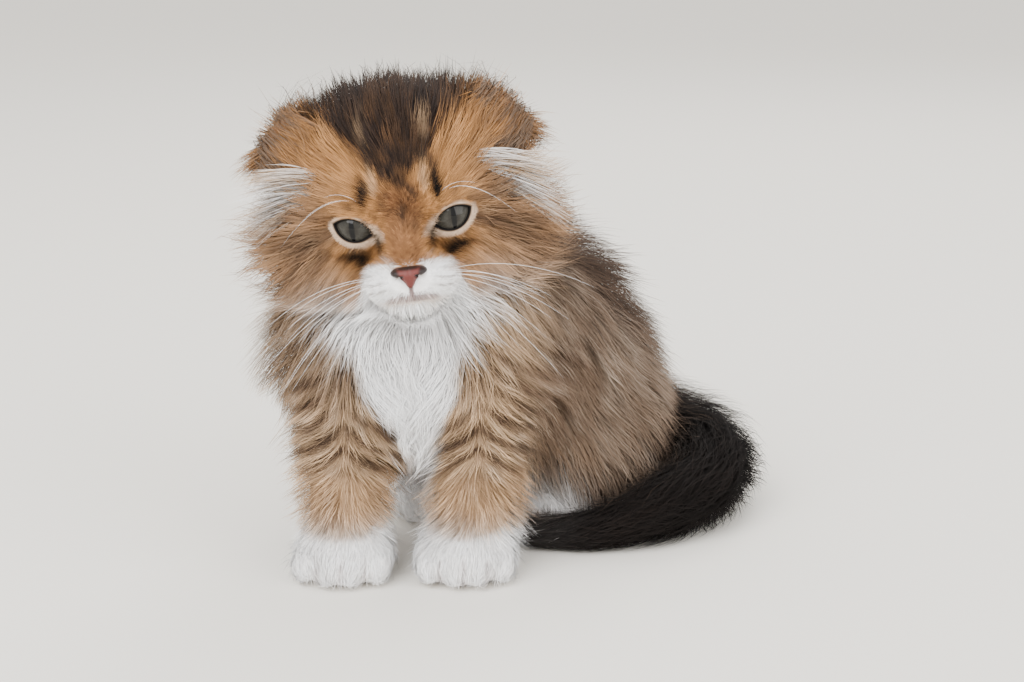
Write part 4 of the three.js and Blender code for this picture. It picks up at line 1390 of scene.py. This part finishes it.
class Eyes:
    """Two eyes with lids, as deep in the head as real ones."""

    IRIS = srgb(54, 52, 47)
    INNER = srgb(38, 35, 31)
    PUPIL = np.array([0.004, 0.004, 0.004])
    PUPIL_HALF = 0.95, 4.4
    BULGE = 0.7
    # Rings of the lids, from the rolled-in rim outwards and back, as a scale and a radius.
    RINGS = (
        (0.76, 8.9), (0.82, 9.5), (0.86, 10.05), (0.92, 10.4), (1.06, 10.6),
        (1.24, 10.4), (1.5, 9.7), (1.5, 8.8), (1.1, 8.4),
    )
    AROUND = 72
    FRINGE = 1000
    FRINGE_HALF_WIDTH = 0.09

    def __init__(self, shop: Workshop) -> None:
        """Keep the workshop."""
        self.shop = shop

    @staticmethod
    def name(side: int, part: str) -> str:
        """Return the name of a piece of one eye."""
        return f"eye_{'l' if side > 0 else 'r'}_{part}"

    def eye(self, side: int) -> bpy.types.Object:
        """Return an eye with a bulging clear front, its iris and slit marked on it."""
        bm = bmesh.new()
        turn = Matrix.Rotation(math.radians(90), 4, "X")
        bmesh.ops.create_uvsphere(bm, u_segments=96, v_segments=72, radius=1, matrix=turn)
        mesh = self.shop.built(bm, "eye")
        ray = self.shop.stored(mesh)
        out = np.hypot(ray[:, 0], ray[:, 2])
        front = ray[:, 1] < 0
        bulge = np.where(front, self.BULGE * fade(out, 0.0, 0.72), 0)
        local = ray * (EYE_RADIUS + bulge)[:, None]
        self.shop.write(mesh, ALMOND.from_eye(local, side))
        self.shop.mark(mesh, self._iris(local, front))
        return self.shop.link(self.name(side, "ball"), mesh)

    def _iris(self, local: Array, front: Array) -> Array:
        """Return the colours of iris, rim and slit, with a painted shadow of the upper lid over the iris's
        top.
        """
        x, z = local[:, 0], local[:, 2]
        out = np.hypot(x, z)
        angle = np.arctan2(z, x)
        fibres = noise(np.stack([np.cos(angle) * 9, np.sin(angle) * 9, out * 0.4], axis=1), 0.5, 41)
        colour = np.tile(self.IRIS, (len(local), 1)) * (1 + 0.22 * fibres)[:, None]
        colour = paint(colour, self.INNER, fade(out, 1.2, 3.2))
        colour = paint(colour, BLACK, smooth(out, 6.0, 7.4))
        # Painted shadow of the upper lid: the top of the iris is darkened.
        colour = paint(colour, BLACK, 0.6 * smooth(z, 0.8, 4.2))
        half, tall = self.PUPIL_HALF
        slit = np.abs(x) / (half * np.sqrt(np.maximum(1 - (z / tall) ** 2, 1e-4)))
        colour = paint(colour, self.PUPIL, fade(slit, 0.85, 1.15))
        return np.where(front[:, None], colour, BLACK)

    def lids(self, side: int) -> bpy.types.Object:
        """Return the lids round an eye, rolled in at a dark rim."""
        angle = np.linspace(0, 2 * np.pi, self.AROUND, endpoint=False)
        bm = bmesh.new()
        loops, places, scales = [], [], []
        for scale, radius in self.RINGS:
            made = bmesh.ops.create_circle(bm, cap_ends=False, segments=self.AROUND, radius=1)
            loops.append(made["verts"])
            flat = ALMOND.radius(angle) * scale
            shown = angle + math.radians(ALMOND.SLANT)
            x, z = flat * np.cos(shown), flat * np.sin(shown)
            y = -np.sqrt(np.maximum(radius**2 - x * x - z * z, 4))
            x = x if side > 0 else -x
            places.append(ALMOND.from_eye(np.stack([x, y, z], axis=1), side))
            scales.append(np.full(self.AROUND, scale))
        points = self.shop.metres(np.concatenate(places))
        bm.verts.ensure_lookup_table()
        for vert, point in zip(bm.verts, points):
            vert.co = point
        for a, b in zip(loops, loops[1:] + loops[:1]):
            edges = {e for v in (*a, *b) for e in v.link_edges}
            edges = [e for e in edges if set(e.verts) <= set(a) or set(e.verts) <= set(b)]
            bmesh.ops.bridge_loops(bm, edges=edges)
        bmesh.ops.recalc_face_normals(bm, faces=bm.faces)
        mesh = self.shop.built(bm, "lids")
        scale = np.concatenate(scales)
        colour = MARKINGS.head(to_head(np.concatenate(places)))
        rim = 1 - smooth(scale, 0.9, 1.0)
        self.shop.mark(mesh, paint(colour, BLACK * 0.8, rim))
        return self.shop.link(self.name(side, "lids"), mesh)

    def fringe(self, side: int) -> bpy.types.Object:
        """Return the short hair that grows over the lids' outer part."""
        rng = np.random.default_rng(700 + side)
        count = self.FRINGE
        angle = rng.uniform(-np.pi, np.pi, count)[:, None]
        scale = rng.uniform(1.0, 1.5, count)[:, None]
        u = np.linspace(0, 1, 3)[None]
        reach = ALMOND.radius(angle) * (scale + 0.28 * u * rng.uniform(0.6, 1.3, (count, 1)))
        shown = angle + math.radians(ALMOND.SLANT) + 0.12 * u * rng.standard_normal((count, 1))
        radius = np.interp(scale, [1.0, 1.24, 1.5], [10.5, 10.4, 9.7]) + 0.8 * u
        x, z = reach * np.cos(shown) * side, reach * np.sin(shown)
        y = -np.sqrt(np.maximum(radius**2 - x * x - z * z, 4))
        eye = np.stack([x, y, z], axis=2).reshape(-1, 3)
        path = ALMOND.from_eye(eye, side)
        normal = unit(ALMOND.from_eye(eye * 1.1, side) - path)
        tone = np.repeat(1 + 0.12 * rng.standard_normal(count), 3)[:, None]
        colours = MARKINGS.head(to_head(path)) * tone
        patch = 0.5 + 0.3 * np.concatenate([np.cos(angle), np.sin(angle)], axis=1) * scale
        name = self.name(side, "fringe")
        rows = [a.reshape(count, 3, 3) for a in (path, normal, colours)]
        wide = self.FRINGE_HALF_WIDTH * np.ones(count)
        strands = Strands(name, rows[0], rows[1], wide, rows[2], patch)
        return self.shop.link(name, strands.mesh(self.shop))


class Nose:
    """The nose leather, brick red with a dark edge and two nostrils."""

    LEATHER = srgb(98, 42, 37)
    EDGE = srgb(30, 19, 18)
    # Near black painted in the nostril holes: painted shade inside them.
    NOSTRIL_SHADE = srgb(30, 16, 16)
    CENTRE = np.array([0, -39.5, -16])
    NOSTRIL_AT = 3.3, -43.2, -15.9
    NOSTRIL_DEPTH = 1.7
    GROOVE_DEPTH = 0.25
    PEBBLE_DEPTH = 0.05

    def __init__(self, shop: Workshop) -> None:
        """Keep the workshop and the leather's forms."""
        self.shop = shop
        self.forms = [Ball((s * 3.4, -39.8, -14.6), (3.1, 3.5, 1.5), (0, 0, 0)) for s in SIDES]
        self.forms.append(Ball((0, -41.0, -15.4), (3.2, 3.4, 2.5), (0, 0, 0)))
        self.forms.append(Ball((0, -41, -18.2), (1.5, 2.8, 2.0), (0, 0, 0)))

    def value(self, local: Array) -> Array:
        """Return how far outside the leather each place of the head's frame is."""
        share = np.zeros(len(local))
        return blended([form.value(local, share) for form in self.forms], 2.0)

    def make(self) -> bpy.types.Object:
        """Return the nose as a piece."""
        bm = bmesh.new()
        bmesh.ops.create_icosphere(bm, subdivisions=5, radius=1)
        mesh = self.shop.built(bm, "nose_leather")
        ray = unit(self.shop.stored(mesh))
        centre = self.CENTRE
        low, high = np.zeros(len(ray)), np.full(len(ray), 14.0)
        for _ in range(24):
            middle = (low + high) / 2
            inside = self.value(centre + ray * middle[:, None]) < 0
            low, high = np.where(inside, middle, low), np.where(inside, high, middle)
        local = centre + ray * low[:, None]
        hole = np.zeros(len(local))
        for s in SIDES:
            p = local - np.array(self.NOSTRIL_AT) * np.array([s, 1, 1])
            bent = p[:, 2] + s * p[:, 0] * 0.4
            hole = np.maximum(hole, 1 - smooth(np.hypot(p[:, 0] / 1.5, bent / 0.8), 0.55, 1.1))
        hole *= local[:, 1] < -40
        groove = np.exp(-((local[:, 0] / 0.35) ** 2)) * (local[:, 1] < -41) * self.GROOVE_DEPTH
        local[:, 1] += hole * self.NOSTRIL_DEPTH + groove
        local[:, 1] += noise(local, 0.55, 51) * self.PEBBLE_DEPTH
        self.shop.write(mesh, from_head(local))
        colour = np.tile(self.LEATHER, (len(local), 1))
        across = np.abs(local[:, 0]) + 0.35 * (-15.5 - local[:, 2])
        edge = np.maximum(smooth(across, 2.2, 3.8), smooth(local[:, 2], -13.7, -12.9))
        colour = paint(colour, self.EDGE, edge)
        # The nostril holes are painted near black as painted shade inside them.
        colour = paint(colour, self.NOSTRIL_SHADE, smooth(hole, 0.1, 0.7))
        self.shop.mark(mesh, colour)
        return self.shop.link("nose_leather", mesh)


class Ear:
    """A folded ear with hair on its back, wisps off its edge and long pale hair from its cup."""

    HALF_WIDTH = 11.5
    RISE = 12.5
    CURL = 3.0
    FALL = 12.0
    THICK = 1.6
    ROOT = np.array([32.0, -1.0, 23.0])
    OUT = np.array([0.8, 0.0, 0.6])
    ALONG = np.array([0.6, 0.1, -0.8])
    FORWARD = np.array([0.0, -1.0, 0.0])
    BACK_HAIRS, BACK_STATIONS = 2600, 3
    BACK_HALF_WIDTH, LOCK_HALF_WIDTH = 0.12, 0.11
    LOOSE_SHARE = 0.35
    LOOSE_LENGTH, LAID_LENGTH = 12.0, 9.5
    # Hair of the ear's back is painted darker at the root and lighter at the tip: painted shade deep in the
    # hair, painted light on its tips.
    ROOT_TO_TIP = np.array([0.66, 0.92, 1.1])
    WISPS, WISP_LOCKS, WISP_LENGTH = 460, 60, (6, 15)
    LONG_HAIRS, LONG_LOCKS, LONG_LENGTH = 540, 36, (17, 31)
    LOCK_STATIONS = 5
    SAG = np.array([0.02, 0.1, -0.2])

    def __init__(self, shop: Workshop, side: int) -> None:
        """Keep the workshop and the side."""
        self.shop = shop
        self.side = side
        self.name = "left" if side > 0 else "right"

    def places(self, across: Array, along: Array, level: Array) -> Array:
        """Return places on the ear in the kitten's frame.

        Args:
            across: From -1 to 1 over its width.
            along: From 0 at its root to 1 at its tip.
            level: From 0 inside its cup to 1 on its back.

        Returns:
            Rows of places.
        """
        bend = np.pi * self.CURL
        whole = self.RISE + bend + self.FALL
        path = along * whole
        narrow = np.maximum(0, (path - self.RISE) / (whole - self.RISE)) ** 2.2
        width = self.HALF_WIDTH * np.sqrt(np.maximum(1.04 - narrow, 0.01))
        angle = np.clip((path - self.RISE) / self.CURL, 0, np.pi)
        height = np.minimum(path, self.RISE) - np.maximum(0, path - self.RISE - bend)
        radius = self.CURL - (1 - level) * self.THICK
        bow = (across * width / self.HALF_WIDTH) ** 2
        lift = height + radius * np.sin(angle) - 4 * bow
        reach = self.CURL - radius * np.cos(angle) + 2 * bow
        local = self.ROOT + np.outer(across * width, self.ALONG)
        local = local + np.outer(lift, self.OUT) + np.outer(reach, self.FORWARD)
        local[:, 0] *= self.side
        return from_head(local)

    def flap(self) -> bpy.types.Object:
        """Return the ear's leather as a closed thin sheet."""
        bm = bmesh.new()
        bmesh.ops.create_grid(bm, x_segments=26, y_segments=44, size=1)
        bmesh.ops.solidify(bm, geom=bm.faces[:], thickness=0.02)
        across = np.array([v.co.x for v in bm.verts])
        along = np.array([(v.co.y + 1) / 2 for v in bm.verts])
        level = np.array([1.0 if v.co.z > -0.01 else 0.0 for v in bm.verts])
        points = self.places(np.clip(across, -1, 1), np.clip(along, 0, 1), level)
        for vert, point in zip(bm.verts, self.shop.metres(points)):
            vert.co = point
        bmesh.ops.recalc_face_normals(bm, faces=bm.faces)
        mesh = self.shop.built(bm, f"ear_{self.name}_flap")
        colour = paint(np.tile(TAN, (len(points), 1)), RUST, level)
        self.shop.mark(mesh, colour)
        return self.shop.link(f"ear_{self.name}_flap", mesh)

    def _whole(self) -> float:
        """Return the ear's length from its root over the fold to its tip."""
        return self.RISE + np.pi * self.CURL + self.FALL

    def _frame(self, across: Array, along: Array) -> tuple[Array, Array, Array]:
        """Return places on the ear's back, its outward direction and the way to its tip."""
        step = 0.01
        ones = np.ones(len(across))
        held = np.clip(along, step, 1 - step)
        ahead = self.places(across, held + step, ones)
        behind = self.places(across, held - step, ones)
        beside = self.places(np.minimum(across + step, 1), held, ones)
        other = self.places(np.maximum(across - step, -1), held, ones)
        way = unit(ahead - behind)
        normal = unit(np.cross(beside - other, way)) * -self.side
        past = np.maximum(along - (1 - step), 0) * self._whole()
        return self.places(across, held, ones) + way * past[:, None], normal, way

    def fur(self) -> bpy.types.Object:
        """Return the soft hair of the ear's back, which follows its fold and passes its edges."""
        rng = np.random.default_rng(600 + self.side)
        count, stations = self.BACK_HAIRS, self.BACK_STATIONS
        across = rng.uniform(-1, 1, count)
        along = rng.random(count)
        whole = self._whole()
        loose = rng.random(count) < self.LOOSE_SHARE
        length = np.where(loose, self.LOOSE_LENGTH, self.LAID_LENGTH)
        length = length * (1 + 0.25 * rng.standard_normal(count).clip(-2, 2))
        root = self.places(across, along, np.ones(count))
        drift = 0.5 * noise(root, 4, 62) + 0.25 * rng.standard_normal(count) + 0.9 * across
        high = np.where(loose, 3.0 + 5.0 * rng.random(count), 0.8 + 2.0 * rng.random(count))
        outer = (from_head(np.array([[self.side * 0.6, 0.0, -0.8]])) - HEAD_AT)[0]
        path, normals = [], []
        for u in np.linspace(0, 1, stations):
            here, normal, _ = self._frame(across, along + length * u / whole)
            lift = high * u - 0.3 * (u == 0)
            shift = outer * (drift * length * u * 0.6)[:, None]
            path.append(here + normal * lift[:, None] + shift)
            normals.append(normal)
        shaded = 0.85 * smooth(across, 0.2, 0.9) + 0.5 * noise(root, 2.6, 61) + 0.35 * loose
        shaded = shaded + 0.7 * fade(np.abs(along - 0.4), 0.05, 0.15)
        shaded = shaded + 0.4 * smooth(across, 0.0, 0.8) * smooth(along, 0.4, 0.9)
        base = paint(np.tile(GOLD, (count, 1)), UMBER, shaded)
        tone = (0.96 + 0.16 * rng.standard_normal(count))[:, None, None]
        # Painted shade at the roots and painted light at the tips.
        colours = base[:, None] * tone * self.ROOT_TO_TIP[None, :, None]
        patch = np.stack([(across + 1) / 2, along], axis=1) * 0.96 + 0.02
        strands = Strands(
            f"ear_{self.name}_fur", np.stack(path, 1), np.stack(normals, 1),
            self.BACK_HALF_WIDTH * np.ones(count), colours, patch,
        )
        return self.shop.link(strands.name, strands.mesh(self.shop))

    def wisps(self) -> bpy.types.Object:
        """Return the brown hair that runs off the ear's outer edge towards the cheek."""
        rng = np.random.default_rng(680 + self.side)
        count, locks = self.WISPS, self.WISP_LOCKS
        lock = rng.integers(0, locks, count)
        t = rng.random(locks)[lock]
        foot = self.places(0.35 + 0.6 * rng.random(count), 0.25 + 0.7 * t, np.ones(count))
        way = mix(np.array([0.85, 0.1, 0.25]), np.array([0.6, -0.25, -0.8]), t)
        length = rng.uniform(0.6, 1.1, count) * rng.uniform(*self.WISP_LENGTH, locks)[lock]
        base = paint(np.tile(UMBER, (count, 1)), GOLD, 0.9 * rng.random(locks)[lock])
        return self._locks("wisps", to_head(foot) * np.array([self.side, 1, 1]), way, length, base, lock, rng)

    def furnishing(self) -> bpy.types.Object:
        """Return the long pale hair that spreads out of the ear's cup."""
        rng = np.random.default_rng(640 + self.side)
        count, locks = self.LONG_HAIRS, self.LONG_LOCKS
        lock = rng.integers(0, locks, count)
        t = np.linspace(0, 1, locks)[lock] + rng.normal(0, 0.02, count)
        foot = mix(np.array([30.0, -15.0, 18.0]), np.array([37.0, -13.0, 4.0]), t)
        foot = foot + rng.normal(0, 1.2, (count, 3))
        way = mix(np.array([0.93, -0.1, 0.05]), np.array([0.85, -0.05, -0.5]), t)
        way = way + np.array([0.0, 0.0, 0.1 - 0.18 * self.side])
        length = rng.uniform(0.7, 1.1, count) * rng.uniform(*self.LONG_LENGTH, locks)[lock]
        base = paint(np.tile(WHITE, (count, 1)), STRAW, 1.1 * rng.random(locks)[lock])
        return self._locks("tufts", foot, way, length, base, lock, rng)

    def _locks(
        self, kind: str, foot: Array, way: Array, length: Array, base: Array, lock: Array,
        rng: np.random.Generator,
    ) -> bpy.types.Object:
        """Return long hair in locks, from places of the head's frame as its left side has them.

        Args:
            kind: The last word of the piece's name.
            foot: Where each strand starts.
            way: Which way it sets out.
            length: Its length.
            base: Its colour.
            lock: Which lock it is in.
            rng: The source of variation.

        Returns:
            The piece.
        """
        count, stations = len(foot), self.LOCK_STATIONS
        spread = rng.uniform(-0.13, 0.13, (lock.max() + 1, 3))[lock]
        way = unit(way + spread + 0.05 * rng.standard_normal((count, 3)))
        u = np.linspace(0, 1, stations)
        local = foot[:, None] + way[:, None] * (length[:, None] * u)[..., None]
        local = local + self.SAG * (length[:, None] * u**2)[..., None]
        local[..., 0] *= self.side
        path = from_head(local.reshape(-1, 3)).reshape(count, stations, 3)
        normal = np.tile(unit(np.array([[0.4 * self.side, -0.65, 0.65]])), (count, stations, 1))
        # Painted shade at the roots of the long hair, darker towards the root.
        colours = base[:, None] * np.linspace(0.75, 1.0, stations)[None, :, None]
        across = 0.06 + 0.88 * (lock + 0.5) / (lock.max() + 1)
        patch = np.stack([across, rng.uniform(0.1, 0.9, count)], axis=1)
        name = f"ear_{self.name}_{kind}"
        wide = self.LOCK_HALF_WIDTH * np.ones(count)
        strands = Strands(name, path, normal, wide, colours, patch)
        return self.shop.link(name, strands.mesh(self.shop))


class Whiskers:
    """Long white whiskers from the pads and over the eyes."""

    ROWS, COLUMNS, BROW = 3, 4, 3
    PAD_LENGTH, BROW_LENGTH = (30, 50), (17, 25)
    PAD_HALF_WIDTH, BROW_HALF_WIDTH = 0.045, 0.03
    STATIONS = 12
    FACING = np.array([0.0, -0.97, 0.25])

    def __init__(self, shop: Workshop) -> None:
        """Keep the workshop."""
        self.shop = shop

    def make(self) -> bpy.types.Object:
        """Return all whiskers as one piece."""
        rng = np.random.default_rng(77)
        feet, ways, lengths, sags, patches = [], [], [], [], []
        for s in SIDES:
            for row, column in itertools.product(range(self.ROWS), range(self.COLUMNS)):
                feet.append((s * (9 + 2.3 * column), -41 + 2.2 * column, -17 - 2.2 * row))
                ways.append((s * 0.9, -0.32 + 0.08 * column, 0.02 - 0.22 * row))
                lengths.append(rng.uniform(*self.PAD_LENGTH) * (0.8 + 0.08 * column))
                sags.append((0.0, 0.15, -0.42))
                patches.append((0.5 + s * (0.08 + 0.1 * column), 0.15 + 0.12 * row))
            for k in range(self.BROW):
                feet.append((s * (15 + 2.6 * k), -30.0, 10.0 + 0.5 * k))
                ways.append((s * (0.5 + 0.22 * k), -0.55, 0.62 - 0.24 * k))
                lengths.append(rng.uniform(*self.BROW_LENGTH))
                sags.append((s * 0.1, 0.25, -0.42 - 0.12 * k))
                patches.append((0.5 + s * (0.1 + 0.08 * k), 0.85))
        foot, way = np.array(feet), unit(np.array(ways) + rng.normal(0, 0.06, (len(feet), 3)))
        length, sag = np.array(lengths), np.array(sags)
        u = np.linspace(0, 1, self.STATIONS)
        local = foot[:, None] + way[:, None] * (length[:, None] * u)[..., None]
        local = local + sag[:, None] * (length[:, None] * u**2)[..., None]
        path = from_head(local.reshape(-1, 3)).reshape(local.shape)
        normal = np.tile(self.FACING, (*local.shape[:2], 1))
        colours = np.tile(WHITE, (*local.shape[:2], 1))
        wide = np.where(foot[:, 2] > 0, self.BROW_HALF_WIDTH, self.PAD_HALF_WIDTH)
        strands = Strands("whiskers", path, normal, wide, colours, np.array(patches), flat=1.2)
        return self.shop.link("whiskers", strands.mesh(self.shop))


class Stage:
    """A plain pale floor, soft lights and the camera."""

    CAMERA = np.array([37.6, -649.0, 248.0])
    PITCH = 14.5
    LENS = 60.0
    SENSOR = 36.0
    FLOOR_COLOUR = (228, 224, 216)
    FLOOR_HALF = 20
    AIM = Vector((0, 0, 0.09))
    # Name, place, width and power of each soft light.
    LAMPS = (
        ("key", (-0.7, -1.1, 1.3), 1.2, 42.0),
        ("fill", (1.3, -1.0, 0.8), 1.4, 22.0),
        ("rim", (0.5, 1.1, 1.3), 0.9, 12.0),
    )
    SKY = (1, 0.985, 0.965, 1)
    SKY_STRENGTH = 1.65

    def __init__(self, shop: Workshop) -> None:
        """Keep the workshop."""
        self.shop = shop

    def floor(self) -> None:
        """Lay the floor."""
        bm = bmesh.new()
        bmesh.ops.create_grid(bm, x_segments=1, y_segments=1, size=self.FLOOR_HALF)
        piece = self.shop.link("floor", self.shop.built(bm, "floor"))
        piece.data.materials.append(PlainFinish("pale_floor", self.FLOOR_COLOUR).make())

    def lights(self) -> None:
        """Hang the soft lights."""
        for name, place, size, power in self.LAMPS:
            data = bpy.data.lights.new(name, "AREA")
            data.shape = "SQUARE"
            data.size = size
            data.energy = power
            lamp = bpy.data.objects.new(name, data)
            lamp.location = place
            lamp.rotation_euler = (self.AIM - Vector(place)).to_track_quat("-Z", "Y").to_euler()
            bpy.context.scene.collection.objects.link(lamp)
        world = bpy.data.worlds.new("soft_room")
        world.use_nodes = True
        light = world.node_tree.nodes["Background"]
        light.inputs["Color"].default_value = self.SKY
        light.inputs["Strength"].default_value = self.SKY_STRENGTH
        bpy.context.scene.world = world

    def camera(self) -> None:
        """Stand the camera where the photograph was taken."""
        data = bpy.data.cameras.new("view")
        data.lens = self.LENS
        data.sensor_width = self.SENSOR
        camera = bpy.data.objects.new("view", data)
        camera.location = self.shop.metres(self.CAMERA[None])[0]
        camera.rotation_euler = (math.radians(90 - self.PITCH), 0, 0)
        bpy.context.scene.collection.objects.link(camera)
        bpy.context.scene.camera = camera


FLESH = (
    "head", "neck", "torso", "front_leg_left", "front_leg_right", "front_paw_left",
    "front_paw_right", "hind_paw_left", "hind_paw_right", "thigh_left", "thigh_right",
    "tail_base", "tail_middle", "tail_tip",
)


def main() -> None:
    """Build the kitten over its frame."""
    logging.basicConfig(level=logging.INFO, format="%(name)s: %(message)s")
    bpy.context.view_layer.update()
    shop = Workshop()
    hair = HairFinish("kitten_coat").make()
    hide = HairFinish("kitten_skin", roughness=0.8, grain=700.0, amount=0.8, bump=0.6).make()
    leather = HairFinish("nose_leather", 0.45, 0.0, 0.35, 2600.0, 0.5, 0.35).make()
    gloss = EyeFinish().make()
    skin = Skin(shop)
    shop.finish(skin.piece, hide, "golden_coat", *FLESH)
    coat = Coat(shop, skin)
    for number, tract in enumerate(TRACTS):
        coat.grow(tract, hair, 900 + number)
    eyes = Eyes(shop)
    for side, name in ((1, "left"), (-1, "right")):
        shop.finish(eyes.eye(side), gloss, "eye", f"eye_{name}")
        shop.finish(eyes.lids(side), hide, "white_coat")
        shop.finish(eyes.fringe(side), hair, "white_coat")
        ear = Ear(shop, side)
        shop.finish(ear.flap(), hide, "golden_coat", f"ear_{name}")
        shop.finish(ear.fur(), hair, "golden_coat")
        shop.finish(ear.wisps(), hair, "golden_coat")
        shop.finish(ear.furnishing(), hair, "white_coat")
    shop.finish(Nose(shop).make(), leather, "nose_leather", "nose")
    shop.finish(Whiskers(shop).make(), hair, "white_coat")
    stage = Stage(shop)
    stage.floor()
    stage.lights()
    stage.camera()


if __name__ == "__main__":
    main()
